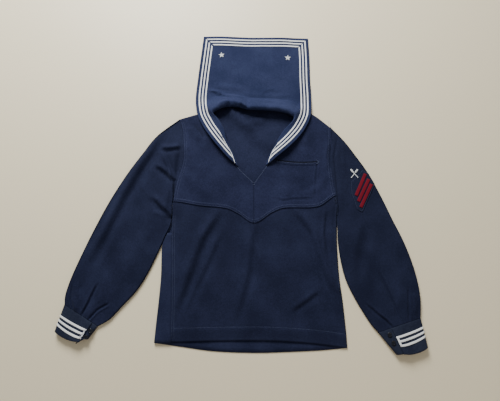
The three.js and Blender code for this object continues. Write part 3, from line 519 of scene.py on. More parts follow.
# Small puckers across the turned hem, where its stitching draws it in
HEM_PUCKERS = [-142, -84, -46, -6, 16, 52, 120]
# How far above the edge the hem is stitched, how high the doubled cloth stands, how far the
# edge sinks towards the back, and how far in from the side seam its two rows of stitches lie
HEM_STITCH = 33
HEM_DOUBLE = 0.5
HEM_SINK = 2.6
SEAM_ROWS = (2.2, 7.5)
# The lowest that the front's face can lie, with the back under it
ON_BACK = 2 * WOOL + 0.3


def hump(distance, high, wide):
    """Height of a low hump of cloth at a distance from its line. Taken away, it is a groove."""
    return high * np.exp(-((distance / wide) ** 2))


def front_height(x, y):
    """Height of the front's upper face above the floor."""
    from_left, from_seam, from_hem = left_edge(y) - x, x - side_seam(y), y - front_hem(x)
    folds = creased(x, y, FRONT_FOLDS) + rumple(x, y, size=34, depth=0.25)
    folds = folds * smoothstep(0, 12, from_left) * smoothstep(0, 14, from_seam)
    beyond = from_hem - HEM_STITCH
    hem = HEM_DOUBLE * smoothstep(1.6, -1.0, beyond) - hump(beyond, high=0.7, wide=1.3)
    seams = sum(hump(from_seam - row, high=0.5, wide=1.2) for row in SEAM_ROWS) * (y < UNDERARM)
    puckers = sum(hump(x - place, high=0.5, wide=3.5) for place in HEM_PUCKERS)
    puckers = puckers * smoothstep(-26, -6, beyond) * smoothstep(6, 0, beyond)
    drop = rolled(from_left) * fold_share(y) + rolled(shoulder(x) - y)
    drop = drop + 1.3 * np.exp(-np.maximum(from_left, 0) / 7) * fold_share(y)
    sink = HEM_SINK * smoothstep(34, 0, from_hem)
    return np.maximum(LOFT + folds + hem + puckers - seams - drop - sink, ON_BACK)


def front_start(y):
    """The front's edge at the side seam, a hair from the back's."""
    return side_seam(y) + SEAM_GAP * (y < UNDERARM)


front_halves = []
for start, end, folded in ((front_start, neck_right, False), (neck_left, left_edge, True)):
    x, y = patch(
        front_hem, shoulder, start, end,
        steps(FRONT_ROWS, False, True), steps(FRONT_COLUMNS, False, folded))
    front_halves.append(np.stack([x, y, front_height(x, y)], axis=-1))
front_points, front_quads = joined(front_halves)
front = add_piece("front", *wall(front_points, front_quads, WOOL), front_wool, "wool")
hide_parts("front_panel")


def surface_of(points, quads):
    """A mesh to look things up on, from points on the pattern's axes."""
    return BVHTree.FromPolygons(np.asarray(points).tolist(), np.asarray(quads).tolist())


ABOVE_ALL = 200


def height_over(surface, places):
    """Height of a surface over places in plan, or of the last one found where it has ended."""
    down = Vector((0, 0, -1))
    heights = []
    for x, y in places:
        hit = surface.ray_cast(Vector((x, y, ABOVE_ALL)), down)[0]
        heights.append(hit.z if hit else (heights[-1] if heights else LOFT))
    return np.array(heights)


front_surface = surface_of(front_points, front_quads)

# Thread
# Seams are sewn with navy thread, about eight stitches to the inch. Each stitch is a short
# round length of it that dips into the cloth at both ends.
STITCH = 2.6
STITCH_PITCH = 3.3
THREAD = 0.26
navy_thread = wool("Navy thread", (0.075, 0.09, 0.15), (0.12, 0.14, 0.22), mottle=0.5, twill=0.0)
# Along a stitch: the share of its length, of its radius, and its rise in radii
STITCH_RINGS = [(0.0, 0.4, -0.3), (0.18, 0.9, 0.1), (0.5, 1.0, 0.35), (0.82, 0.9, 0.1), (1.0, 0.4, -0.3)]
STITCH_SIDES = 5


def lengths_along(path):
    """How far along a path each of its points is."""
    return np.concatenate([[0], np.cumsum(np.linalg.norm(np.diff(path, axis=0), axis=1))])


def spaced(path, pitch):
    """Points at an even pitch along a path."""
    path = np.asarray(path, float)
    lengths = lengths_along(path)
    at = np.arange(0, lengths[-1], pitch)
    return np.stack([np.interp(at, lengths, path[:, k]) for k in range(path.shape[1])], axis=1)


def circle(sides):
    """Angles at an even pitch round a circle."""
    return np.arange(sides) * 2 * np.pi / sides


def ring_faces(rings, sides):
    """The quads between rings of points, where each ring closes on itself."""
    faces = []
    for low in range(0, (rings - 1) * sides, sides):
        high = low + sides
        for k in range(sides):
            n = (k + 1) % sides
            faces.append((low + k, low + n, high + n, high + k))
    return np.array(faces)


def stitch_mesh(starts, ends, radius=THREAD):
    """A joined mesh with one stitch from each start to each end."""
    run = ends - starts
    way = unit(run)
    aside = unit(np.cross(way, [0.0, 0.0, 1.0]))
    upward = np.cross(aside, way)
    points = []
    for share, wide, rise in STITCH_RINGS:
        centre = starts + run * share + upward * radius * rise
        for angle in circle(STITCH_SIDES):
            points.append(centre + radius * wide * (np.cos(angle) * aside + np.sin(angle) * upward))
    first = len(points) * np.arange(len(starts))[:, None, None]
    faces = ring_faces(len(STITCH_RINGS), STITCH_SIDES)[None] + first
    return np.stack(points, axis=1).reshape(-1, 3), faces.reshape(-1, 4)


FINE_PITCH = 0.5
SHORTEST_STITCH = 0.6 * STITCH


def sew(paths, surface, lift=0.05):
    """Stitches along paths in plan, on a surface."""
    solids = []
    for path in paths:
        starts = spaced(path, STITCH_PITCH)
        fine = spaced(path, FINE_PITCH)
        end_at = (np.arange(len(starts)) * STITCH_PITCH + STITCH) / FINE_PITCH
        ends = fine[np.minimum(end_at, len(fine) - 1).astype(int)]
        keep = np.linalg.norm(ends - starts, axis=1) > SHORTEST_STITCH
        starts, ends = starts[keep], ends[keep]
        starts = np.column_stack([starts, height_over(surface, starts) + lift])
        ends = np.column_stack([ends, height_over(surface, ends) + lift])
        solids.append(stitch_mesh(starts, ends))
    return together(*solids)


across_hem = np.linspace(-200, 228, 60)
hem_path = np.column_stack([across_hem, front_hem(across_hem) + HEM_STITCH])
up_seam = np.linspace(34, 352, 50)
seam_paths = [np.column_stack([side_seam(up_seam) + SEAM_GAP + row, up_seam]) for row in SEAM_ROWS]
front_stitches = add_piece(
    "front_stitches", *sew([hem_path, *seam_paths], front_surface), navy_thread, "wool")

# Yoke
# A second layer of the same wool over the chest and shoulders, in two halves that meet at a
# centre seam below the neck. Its lower edge is turned in, lapped and stitched down in two rows.
# The yoke is the front's own wool, but its colour is painted a little lighter, as light falling on it
yoke_wool_with_light = wool("Yoke wool with painted light", (0.0068, 0.0095, 0.032), (0.022, 0.027, 0.07))
YOKE_WOOL = 1.0
YOKE_CENTRE = 3
YOKE = table(
    "x y",
    (-260, 386), (-209, 388), (-143, 377), (-70, 369), (-40, 355), (3, 330),
    (51, 358), (81, 370), (176, 375), (223, 405), (260, 412),
)
yoke_edge = line(YOKE["x"], YOKE["y"])
YOKE_FOLDS = [
    ([(-190, 480), (-150, 440), (-110, 400)], 14, 1.3, 1.0),
    ([(-186, 560), (-160, 520), (-150, 470)], 14, 1.4, 0.8),
    ([(-120, 540), (-90, 490), (-60, 440)], 18, 1.3, 0.0),
    ([(200, 470), (176, 430), (120, 404)], 12, 1.3, -1.0),
    ([(70, 470), (110, 450), (150, 450)], 18, 1.3, -1.0),
    ([(178, 520), (170, 449), (164, 392)], 2.6, 0.0, 1.3),
    ([(50, 402), (81, 392), (110, 397), (170, 398)], 3.0, 0.0, -1.4),
    ([(214, 560), (206, 520), (208, 470)], 7, 0.0, 1.9),
    ([(150, 620), (158, 580), (150, 540)], 16, 1.4, 1.0),
    ([(-176, 610), (-150, 580), (-140, 560)], 12, 0.0, 1.9),
]
# The turned-in lap's depth and height, and how far from an edge the rows of stitches lie and
# draw the cloth in
LAP = 8.5
LAP_RISE = 0.9
YOKE_ROWS = (2.2, 8.0)
YOKE_SINKS = (1.9, 8.1)
ARMHOLE_ROWS = (2.4, 8.2)
# The share of the yoke's height that has close rows of points, and its rows and columns
CLOSE_SHARE = 0.05
CLOSE_ROWS = 14
YOKE_STEPS = 84


def yoke_height(x, y):
    """The yoke's upper face: the front's own height, moved up, puckered along its stitching."""
    from_edge = y - yoke_edge(x)
    lap = LAP_RISE * smoothstep(LAP + 1.6, LAP - 0.6, from_edge)
    drawn = sum(hump(from_edge - row, high=0.8, wide=0.9) for row in YOKE_SINKS)
    drawn = drawn + hump(x - YOKE_CENTRE, high=0.8, wide=1.3) * (y < V_POINT[1])
    for inside in (x - side_seam(y), left_edge(y) - x):
        drawn = drawn + sum(hump(inside - row, high=0.6, wide=1.2) for row in ARMHOLE_ROWS)
    on_front = front_height(x, y) + SEAM_GAP + YOKE_WOOL
    return on_front + lap - drawn + creased(x, y, YOKE_FOLDS)


def yoke_half(start, end, folded):
    """One half of the yoke: close rows near its stitched edge, wider ones above."""
    close = np.linspace(0, CLOSE_SHARE, CLOSE_ROWS)
    rows = np.concatenate([close, np.linspace(CLOSE_SHARE, 1, YOKE_STEPS)[1:]])
    up = (rows, np.zeros(len(rows)))
    x, y = patch(yoke_edge, shoulder, start, end, up, steps(YOKE_STEPS, False, folded))
    return np.stack([x, y, yoke_height(x, y)], axis=-1)


def yoke_inner(neck, clear):
    """A half's inner edge: the centre seam, and above it the V's edge."""
    return lambda y: np.where(y < V_POINT[1], YOKE_CENTRE, neck(y)) + clear


yoke_sides = {
    "right": yoke_half(lambda y: side_seam(y) + SEAM_GAP, yoke_inner(neck_right, -0.1), False),
    "left": yoke_half(yoke_inner(neck_left, 0.1), left_edge, True),
}
for side, grid in yoke_sides.items():
    add_piece(f"yoke_{side}", *wall(*joined([grid]), YOKE_WOOL), yoke_wool_with_light, "wool")
    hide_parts(f"front_yoke_{side}")
yoke_surface = surface_of(*joined(list(yoke_sides.values())))

across_yoke = np.linspace(-206, 222, 90)
yoke_paths = [np.column_stack([across_yoke, yoke_edge(across_yoke) + row]) for row in YOKE_ROWS]


def beside(edge, ys, sign, rows):
    """Paths that follow an edge, each a little in from it."""
    return [np.column_stack([edge(ys) + sign * row, ys]) for row in rows]


# The V is bound with close rows, and barred below its point
up_v = np.linspace(439.5, 500, 14)
V_ROWS = (0.8, 1.5, 2.2)
V_BARS = (434.6, 435.2, 435.8)
V_BAR_HALF = 3.5
v_paths = [
    *beside(neck_right, up_v, -1, V_ROWS),
    *beside(neck_left, up_v, 1, V_ROWS),
    *[[(YOKE_CENTRE - V_BAR_HALF, y), (YOKE_CENTRE + V_BAR_HALF, y)] for y in V_BARS],
]
up_armhole = np.linspace(386, 618, 50)
armhole_paths = [
    *beside(side_seam, up_armhole, 1, ARMHOLE_ROWS),
    *beside(left_edge, up_armhole, -1, ARMHOLE_ROWS),
]
yoke_stitches = add_piece(
    "yoke_stitches", *sew([*yoke_paths, *v_paths, *armhole_paths], yoke_surface),
    navy_thread, "wool")

# Chest pocket
# A slit in the wearer's left yoke, closed by a narrow welt of the yoke's wool that sags a
# little, and barred at its outer end with a small stitched arrowhead.
WELT = {"start": (64, 499), "end": (175, 494), "wide": 8, "sag": 4, "thick": 0.8}
MOUTH = {"above": 5.2, "wide": 3.2}
ARROW = {"tip": (183, 498.5), "back": 175, "half": 6.5}
welt_share = np.linspace(0, 1, 60)
welt_path = np.linspace(WELT["start"], WELT["end"], len(welt_share))
welt_path[:, 1] -= WELT["sag"] * 4 * welt_share * (1 - welt_share)


def left_of(path):
    """The direction to the left of a path at each of its points."""
    run = unit(np.gradient(path, axis=0))
    return np.column_stack([-run[:, 1], run[:, 0]])


def ribbon(path, offsets, surface, lift):
    """A strip laid on a surface along a path, through points at offsets to its left."""
    left = left_of(path)
    rows = []
    for offset, rise in zip(offsets, np.broadcast_to(lift, len(offsets))):
        places = path + left * offset
        rows.append(np.column_stack([places, height_over(surface, places) + rise]))
    return np.stack(rows, axis=0)


welt_offsets = np.linspace(-WELT["wide"] / 2, WELT["wide"] / 2, 9)
welt_rise = smoothstep(-WELT["wide"] / 2, WELT["wide"] / 2, welt_offsets)
welt_lift = SEAM_GAP + WELT["thick"] * welt_rise
# The welt takes the yoke's colour, with its painted light
welt = add_piece(
    "welt", *wall(*joined([ribbon(welt_path, welt_offsets, yoke_surface, welt_lift)]), SEAM_GAP),
    yoke_wool_with_light, "wool")
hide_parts("pocket_welt")
# The slit above the welt, hollow between its two lips; inside it lies a near-black strip of painted shade
mouth_path = welt_path + [0, MOUTH["above"]]
mouth_offsets = np.linspace(-MOUTH["wide"] / 2, MOUTH["wide"] / 2, 5)
mouth_lift = [0.9, 0.4, 0.1, 0.3, 0.9]
# The strip's near-black colour is painted shade in the slit, not the colour of any cloth
mouth_shade = wool("Pocket mouth painted shade", (0.0012, 0.0016, 0.0035), (0.003, 0.004, 0.008))
mouth = add_piece(
    "pocket_mouth",
    *wall(*joined([ribbon(mouth_path, mouth_offsets, yoke_surface, mouth_lift)]), 0.3),
    mouth_shade, "wool")
tip_x, tip_y = ARROW["tip"]
arrow = [
    [(ARROW["back"] - row, tip_y + ARROW["half"]), (tip_x - row, tip_y),
     (ARROW["back"] - row, tip_y - ARROW["half"])]
    for row in (0, 0.8, 1.6, 2.4)]
pocket_paths = [welt_path + [0, 2.4], welt_path + [0, 1.8], *arrow]
pocket_stitches = add_piece(
    "pocket_stitches", *sew(pocket_paths, yoke_surface, lift=0.9), navy_thread, "wool")

# Sleeves
# Each sleeve is one tube of wool, set into the armhole and laid flat. It creases where it was
# folded away, and at the wrist its fullness is taken up in pleats under the cuff's edge.
# Both sleeves are the same wool. The left one's colour is painted a little darker, as shade, and the
# right one's a little lighter, as light
sleeve_wool_by_light = {
    "right": wool("Right sleeve wool with painted light", (0.0054, 0.0078, 0.026), (0.018, 0.023, 0.058)),
    "left": wool("Left sleeve wool with painted shade", (0.005, 0.0074, 0.024), (0.016, 0.0205, 0.052)),
}
SLEEVE = {
    "right": table(
        "outX outY inX inY",
        (-206, 625, -217.6, 380),
        (-266, 577, -217.5, 345),
        (-305, 524, -226.6, 307),
        (-343, 468, -240.9, 272),
        (-385, 394, -256, 237),
        (-419, 322, -275, 195),
        (-446, 258, -302, 151),
        (-472, 190, -338, 111),
        (-484, 145, -366, 81),
        (-484, 119, -394, 65),
    ),
    "left": table(
        "outX outY inX inY",
        (220, 598, 231.6, 380),
        (255, 559, 228.4, 345),
        (285, 516, 225.4, 308),
        (315, 469, 225.2, 272),
        (346, 405, 230.4, 226),
        (374, 338, 241, 180),
        (401, 275, 262, 133),
        (422, 205, 286, 91),
        (431, 140, 302, 66),
        (427, 85, 316, 50),
    ),
}
SLEEVE_FOLDS = {
    "right": [
        ([(-240, 600), (-284, 518), (-309, 476), (-345, 405), (-380, 324), (-402, 275), (-440, 190)],
         15, 1.6, 5.6),
        ([(-258, 541), (-237, 536), (-196, 541)], 8, 0.6, -3.4),
        ([(-256, 544), (-240, 512), (-226, 478), (-216, 440), (-214, 395), (-219, 350)], 5, 2.0, 4.0),
        ([(-272, 492), (-240, 470), (-206, 438)], 8, 0.8, -4.4),
        ([(-198, 580), (-204, 500), (-210, 440), (-216, 392), (-220, 330)], 5, -3.2, 0.0),
        ([(-214, 560), (-220, 480), (-228, 420), (-234, 380), (-240, 330)], 8, 4.0, 0.0),
        ([(-278, 406), (-250, 375), (-204, 336)], 10, 0.8, -4.6),
        ([(-272, 362), (-241, 353), (-206, 345)], 7, 2.8, 0.0),
        ([(-315, 410), (-295, 324), (-268, 240)], 12, -1.8, -0.8),
        ([(-292, 470), (-330, 380), (-366, 290)], 24, 1.6, 0.0),
        ([(-262, 330), (-312, 240), (-352, 160)], 18, 2.2, 0.0),
        ([(-352, 330), (-384, 240), (-404, 170)], 20, 0.0, 1.6),
        ([(-447, 182), (-454, 130), (-444, 92)], 8, 0.0, 1.6),
        ([(-402, 178), (-425, 122), (-443, 84)], 3.6, -2.0, 3.0),
        ([(-364, 122), (-398, 102), (-424, 72)], 3.6, -1.8, -2.8),
        ([(-471, 172), (-470, 130), (-460, 92)], 3.4, -1.6, 2.0),
        ([(-380, 150), (-412, 112), (-430, 84)], 11, 2.0, 0.0),
        ([(-446, 160), (-452, 126), (-452, 96)], 8, 2.2, 0.0),
    ],
    "left": [
        ([(238, 590), (223, 515), (226, 461), (229, 391), (226, 340)], 4.5, -1.6, 1.0),
        ([(249, 566), (249, 504), (247, 440)], 7, 1.4, 0.0),
        ([(300, 345), (275, 244), (264, 160)], 16, 0.0, 1.8),
        ([(330, 300), (300, 215), (296, 160)], 13, 1.2, 0.0),
        ([(260, 470), (276, 400), (276, 340)], 16, 0.9, 0.8),
        ([(372, 330), (396, 250), (404, 190)], 14, 0.0, -1.4),
        ([(382, 215), (381, 160), (378, 110)], 10, 1.8, 0.0),
        ([(326, 210), (354, 142), (365, 115), (378, 68)], 3.6, -2.0, -3.0),
        ([(288, 123), (323, 92), (339, 80), (360, 56)], 3.6, -1.8, -2.8),
        ([(404, 168), (401, 115), (399, 68)], 3.4, -1.6, -1.6),
        ([(320, 170), (340, 120), (354, 84)], 11, 2.2, 0.0),
        ([(414, 150), (416, 120), (412, 90)], 7, 1.6, 0.0),
    ],
}
ARMHOLE_GAP = 0.6
# The height above which each sleeve lies close against the body, and how softly it parts
SLEEVE_PARTS = {"right": 282, "left": 318}
PARTING = 14
# Sections along a sleeve, how much closer they are at the wrist, and steps across its layers
SLEEVE_SECTIONS = 171
WRIST_CLOSER = 0.35
SLEEVE_STEPS = {"upper": 84, "lower": 24}


def through(points):
    """A smooth curve through points, from its start at 0 to its end at 1."""
    points = np.asarray(points, float)
    padded = np.concatenate([points[:1], points, points[-1:]])

    def read(t):
        t = np.clip(np.asarray(t, float), 0, 1) * (len(points) - 1)
        k = np.minimum(t.astype(int), len(points) - 2)
        before, start, end, after = (padded[k + n] for n in range(4))
        return blend((t - k)[..., None], start, end, (end - before) / 2, (after - start) / 2)

    return read


def sleeve_grids(side):
    """A sleeve's upper and lower layers, armhole first, each from the outer to the inner fold."""
    rows = SLEEVE[side]
    sign = 1 if side == "left" else -1
    armhole = left_edge if side == "left" else right_edge
    outer = through(np.column_stack([rows["outX"], rows["outY"]]))
    inner = through(np.column_stack([rows["inX"], rows["inY"]]))
    even = np.linspace(0, 1, SLEEVE_SECTIONS)
    t = even + WRIST_CLOSER * (even - even**2) * even
    start, end = outer(t)[:, None, :], inner(t)[:, None, :]
    close = smoothstep(SLEEVE_PARTS[side] - PARTING, SLEEVE_PARTS[side] + PARTING, end[..., 1])
    end[..., 0] += (armhole(end[..., 1]) + sign * ARMHOLE_GAP - end[..., 0]) * close
    run = end - start
    length = np.linalg.norm(run, axis=-1)
    layers = {}
    for layer, count in SLEEVE_STEPS.items():
        shares, offsets = steps(count, True, True)
        share = shares[None, :] + offsets[None, :] / length
        place = start + run * share[..., None]
        chord_x = rows["outX"][0] + (rows["inX"][0] - rows["outX"][0]) * share
        chord_y = rows["outY"][0] + (rows["inY"][0] - rows["outY"][0]) * share
        from_underarm = np.minimum(1, 8 * (1 - share))
        bend = (armhole(chord_y) + sign * ARMHOLE_GAP - chord_x) * from_underarm
        x = place[..., 0] + bend * (1 - t[:, None]) ** 6
        y = place[..., 1]
        drop = rolled(share * length) + rolled((1 - share) * length)
        if layer == "lower":
            z = drop
        else:
            inside = np.minimum(share, 1 - share) * length
            full = np.minimum(1, t * 40 + 0.7)[:, None] * smoothstep(0, 8, inside)
            folds = creased(x, y, SLEEVE_FOLDS[side]) + rumple(x, y, size=27, depth=0.3)
            z = np.maximum(LOFT - drop + folds * full, np.minimum(LOFT - drop, ON_BACK))
        layers[layer] = np.stack([x, y, z], axis=-1)
    return layers


def cloth_grid(grid, upwards=True):
    """A grid turned so that its first columns face up, or down."""
    normals = normals_of(*joined([grid[:, : grid.shape[1] // 3]]))
    facing_up = normals[:, 2].mean() > 0
    return grid if facing_up == upwards else grid[:, ::-1]


sleeve_sheets = {}
for side in ("right", "left"):
    layers = sleeve_grids(side)
    grids = [cloth_grid(layers["upper"]), cloth_grid(layers["lower"], upwards=False)]
    sleeve_points, sleeve_faces = wall(*joined(grids), WOOL)
    sleeve_points[:, 2] = np.maximum(sleeve_points[:, 2], 0)
    add_piece(
        f"sleeve_cloth_{side}", sleeve_points, sleeve_faces, sleeve_wool_by_light[side], "wool")
    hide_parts(f"sleeve_{side}")
    sleeve_sheets[side] = joined([grids[0]])

# Cuffs
# A band of doubled wool at each wrist, left unbuttoned. Three rows of white tape run round it
# and end at a short upright tape, and the taped end laps over the end with the two buttons.
cuff_wool = wool("Cuff wool", (0.009, 0.012, 0.028), (0.026, 0.032, 0.056))
CUFF_WOOL = 2.2
CUFF = {
    "right": {
        "seam_out": (-484.6, 118.2), "seam_in": (-394.6, 64.2), "seam_lap": (-409, 73),
        "hand_out": (-501, 54), "hand_in": (-416, 33), "hand_lap": (-434, 28),
        "tape_at_fold": 27.8, "tape_at_lap": 20.8,
    },
    "left": {
        "seam_out": (427.2, 84.2), "seam_in": (316.2, 49.2), "seam_lap": (350.5, 60),
        "hand_out": (438, 15), "hand_in": (358, -4), "hand_lap": (373.5, -1),
        "tape_at_fold": 22.5, "tape_at_lap": 24,
    },
}
CUFF = {
    side: {name: np.array(place, float) for name, place in places.items()}
    for side, places in CUFF.items()}
# How far the buttoned end runs under the lap, how round the folds are at the sleeve and at the
# hand, and how far the hand's edge bows out
CUFF_LAP = 9
CUFF_FOLD = 3.7
CUFF_HAND_FOLD = 8
CUFF_BOW = 6.5
# The taped end lies on the buttoned one, and comes down to the cuff's face beyond it
CUFF_LIFT = CUFF_WOOL + SEAM_GAP
CUFF_LIFTED = 12
CUFF_DOWN = 31
# Tape is 3/16 inch wide
TAPE_WIDTH = 4.76
TAPE_CLOTH = 0.8
CUFF_TAPE_PITCH = 10.4
# Points along a section: over the lap, on the flat top, round half a turn, below and lapped
LAP_POINTS = 16
TOP_POINTS = 10
TURN_STEPS = 8
UNDER_POINTS = 8
LAPPED_POINTS = 7
CUFF_TURN = LAP_POINTS + TOP_POINTS
CUFF_SECTIONS = 25


def along(start, end, share):
    return start + (end - start) * share


def cuff_section(side, share):
    """One section of a cuff, from its taped end over the top, round both folds and back
    under the lap."""
    c = CUFF[side]
    outer, inner, lap = (along(c[f"seam_{end}"], c[f"hand_{end}"], share) for end in ("out", "in", "lap"))
    to_outer, to_inner, to_lap = unit(outer - lap), unit(inner - outer), unit(lap - inner)
    fold = along(CUFF_FOLD, CUFF_HAND_FOLD, share)

    def straight(start, end, shares, height):
        return [(*along(start, end, k), height) for k in shares]

    def turn(edge, away, angles):
        centre = edge - away * fold
        return [(*(centre + away * fold * np.sin(a)), fold * (1 + np.cos(a))) for a in angles]

    top = []
    for distance in np.linspace(0, CUFF_DOWN, LAP_POINTS):
        lift = CUFF_LIFT * (1 - smoothstep(CUFF_LIFTED, CUFF_DOWN, distance))
        top.append((*(lap + to_outer * distance), 2 * fold + lift))
    half = np.linspace(0, np.pi, TURN_STEPS + 1)
    flat_start, flat_end = lap + to_outer * CUFF_DOWN, outer - to_outer * fold
    under_end, lap_end = inner - to_inner * fold, lap + to_lap * CUFF_LAP
    section = np.array([
        *top,
        *straight(flat_start, flat_end, np.linspace(0, 1, TOP_POINTS + 2)[1:-1], 2 * fold),
        *turn(outer, to_outer, half),
        *straight(flat_end, under_end, np.linspace(0, 1, UNDER_POINTS + 2)[1:-1], 0.0),
        *turn(inner, to_inner, half[::-1]),
        *straight(under_end, lap_end, np.linspace(0, 1, LAPPED_POINTS + 1)[1:], 2 * fold),
    ])
    across = np.clip((section[:, :2] - lap) @ to_outer / np.linalg.norm(outer - lap), 0, 1)
    to_hand = unit(c["hand_out"] + c["hand_lap"] - c["seam_out"] - c["seam_lap"])
    section[:, :2] += to_hand * (CUFF_BOW * share * 4 * across * (1 - across))[:, None]
    return section


def cuff_grid(side):
    """A cuff's sections, drawn in along both edges of its top and a little uneven between."""
    shares = np.linspace(0, 1, CUFF_SECTIONS)
    grid = np.array([cuff_section(side, share) for share in shares])
    depth = shares[:, None]
    drawn = hump(depth, high=0.5, wide=0.06) + hump(depth - 1, high=0.4, wide=0.08)
    on_top = grid[..., 2] > 2 * along(CUFF_FOLD, CUFF_HAND_FOLD, depth) - 0.1
    swell = 0.5 * np.sin(grid[..., 0] / 11) * np.sin(depth * np.pi)
    grid[..., 2] += on_top * (swell - drawn)
    return grid


def woven_tape():
    """Cotton tape: fine threads that cross, with the gaps between them painted darker as shade, a little
    dust, and a hard even white.
    """
    group, given = node_group(
        "Woven tape",
        {"Thread": (0.83, 0.82, 0.77, 1), "Shade": (0.6, 0.6, 0.58, 1)},
        {"Threads": 330.0, "Dust": 0.25})
    place = group.nodes.new("ShaderNodeTexCoord").outputs["Object"]
    warp, weft = (
        texture(
            group, "ShaderNodeTexWave", {"bands_direction": way, "Distortion": 0.6},
            {"Vector": place, "Scale": given["Threads"]}).outputs["Fac"]
        for way in ("X", "Y"))
    soil = texture(
        group, "ShaderNodeTexNoise", {"Scale": 90.0, "Detail": 4.0}, {"Vector": place}).outputs["Fac"]
    threads = math(group, "MULTIPLY", warp, weft)
    # Where the threads don't cross, the colour is painted towards the shade colour as shade between them,
    # and dust darkens it there too
    gaps = math(group, "SUBTRACT", 1.0, threads)
    dust = math(group, "MULTIPLY", soil, given["Dust"])
    gap_shade_and_dust = math(group, "ADD", math(group, "MULTIPLY", gaps, 0.12), dust)
    colour = mix(group, gap_shade_and_dust, given["Thread"], given["Shade"])
    put_out(group, colour, rough_from(group, soil, 0.15, 0.6), threads)
    return group


WOVEN_TAPE = woven_tape()
white_tape = finish(
    "White tape", WOVEN_TAPE, {"Thread": (0.92, 0.915, 0.88, 1), "Dust": 0.1},
    {"Specular IOR Level": 0.3, "Sheen Weight": 0.05}, (0.5, 0.0003))


def moulded():
    """Pressed dark plastic: an even gloss with fine scratches and a trace of dust."""
    group, given = node_group(
        "Moulded plastic", {"Body": (0.006, 0.007, 0.012, 1), "Worn": (0.02, 0.02, 0.026, 1)}, {})
    place = group.nodes.new("ShaderNodeTexCoord").outputs["Object"]
    scuff = texture(
        group, "ShaderNodeTexNoise", {"Scale": 700.0, "Detail": 5.0}, {"Vector": place}).outputs["Fac"]
    dust = texture(group, "ShaderNodeClamp", {}, {"Value": above(group, scuff, 0.55, 1.2)}).outputs[0]
    colour = mix(group, dust, given["Body"], given["Worn"])
    put_out(group, colour, rough_from(group, scuff, 0.25, 0.12), scuff)
    return group


button_gloss = finish(
    "Button", moulded(), {}, {"Coat Weight": 0.2, "Coat Roughness": 0.08, "Specular IOR Level": 0.35},
    (0.1, 0.0001))
BUTTON = {"radius": 5.6, "thick": 2.4, "sides": 40}
BUTTON_PLACES = {"right": [(-410, 54.5), (-419.4, 39.5)], "left": [(343.5, 44.5), (351, 25)]}
# A button's section from its underside to its middle, in radii and thicknesses
BUTTON_PROFILE = [
    (0.0, 0.0), (0.7, 0.0), (0.92, 0.12), (1.0, 0.4), (1.0, 0.65), (0.96, 0.88), (0.88, 1.0),
    (0.78, 0.98), (0.7, 0.86), (0.6, 0.74), (0.45, 0.68), (0.3, 0.67), (0.15, 0.66), (0.0, 0.66),
]


def button_mesh(x, y, z):
    """A round button turned from its section, with a raised rim and a dished middle."""
    radius, thick, sides = BUTTON["radius"], BUTTON["thick"], BUTTON["sides"]
    points = np.array([
        (x + radius * r * np.cos(a), y + radius * r * np.sin(a), z + thick * h)
        for r, h in BUTTON_PROFILE for a in circle(sides)])
    return points, ring_faces(len(BUTTON_PROFILE), sides)


def cuff_spot(side, spot, down):
    """A point on a cuff: at a place along its section and so far down from the sleeve seam."""
    c = CUFF[side]
    lap_depth = np.linalg.norm(c["hand_lap"] - c["seam_lap"])
    out_depth = np.linalg.norm(c["hand_out"] - c["seam_out"])
    k = int(spot)

    def pick(section):
        return along(section[k], section[k + 1], spot - k)

    middle = cuff_section(side, 0.5)
    across = np.linalg.norm(pick(middle) - middle[0]) / np.linalg.norm(middle[CUFF_TURN] - middle[0])
    slant = across * (c["tape_at_fold"] - c["tape_at_lap"])
    return pick(cuff_section(side, (down + slant) / along(lap_depth, out_depth, across)))


def cuff_tape(side, spots, low, high):
    """A tape on a cuff between two depths, its face a little crowned."""
    crown = np.array([0.8, 1.0, 1.05, 1.05, 1.0, 0.8])
    rise = SEAM_GAP + TAPE_CLOTH * crown
    depths = np.linspace(low, high, len(crown))
    grid = np.array([[cuff_spot(side, spot, down) for spot in spots] for down in depths])
    flat = cloth_grid(grid)
    facing = unit(np.cross(np.gradient(flat, axis=1), np.gradient(flat, axis=0)))
    return wall(*joined([flat + facing * rise[:, None, None]]), TAPE_CLOTH)


# Where the tapes start and end and the end tape lies, in points along a section
ROW_SPOTS = np.linspace(2.1, CUFF_TURN + TURN_STEPS / 2, 34)
END_SPOTS = 0.3 + np.linspace(0, TAPE_WIDTH * (LAP_POINTS - 1) / CUFF_DOWN, 5)
RIM_POINTS = 12

for side in ("right", "left"):
    grid = cloth_grid(cuff_grid(side))
    cuff = add_piece(f"cuff_cloth_{side}", *wall(*joined([grid]), CUFF_WOOL), cuff_wool, "wool")
    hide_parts(f"cuff_{side}")
    cuff_surface = surface_of(*joined([grid]))
    first = CUFF[side]["tape_at_lap"] - TAPE_WIDTH / 2
    for row in range(3):
        low = first + row * CUFF_TAPE_PITCH
        tape = add_piece(
            f"cuff_tape_{side}_{row + 1}", *cuff_tape(side, ROW_SPOTS, low, low + TAPE_WIDTH),
            white_tape, "white_tape")
        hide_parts(f"cuff_{side}_tape_{row + 1}")
    bar = add_piece(
        f"cuff_tape_{side}_end",
        *cuff_tape(side, END_SPOTS, first, first + 2 * CUFF_TAPE_PITCH + TAPE_WIDTH),
        white_tape, "white_tape")
    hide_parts(f"cuff_{side}_tape_end")
    for k, (x, y) in enumerate(BUTTON_PLACES[side]):
        rim = [
            (x + BUTTON["radius"] * np.cos(a), y + BUTTON["radius"] * np.sin(a))
            for a in np.linspace(0, 2 * np.pi, RIM_POINTS)]
        points, faces = button_mesh(x, y, height_over(cuff_surface, rim).max() + SEAM_GAP)
        button = add_piece(f"cuff_button_{side}_{k + 1}", points, faces, button_gloss, "button")
        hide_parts(f"button_{side}_{k + 1}")

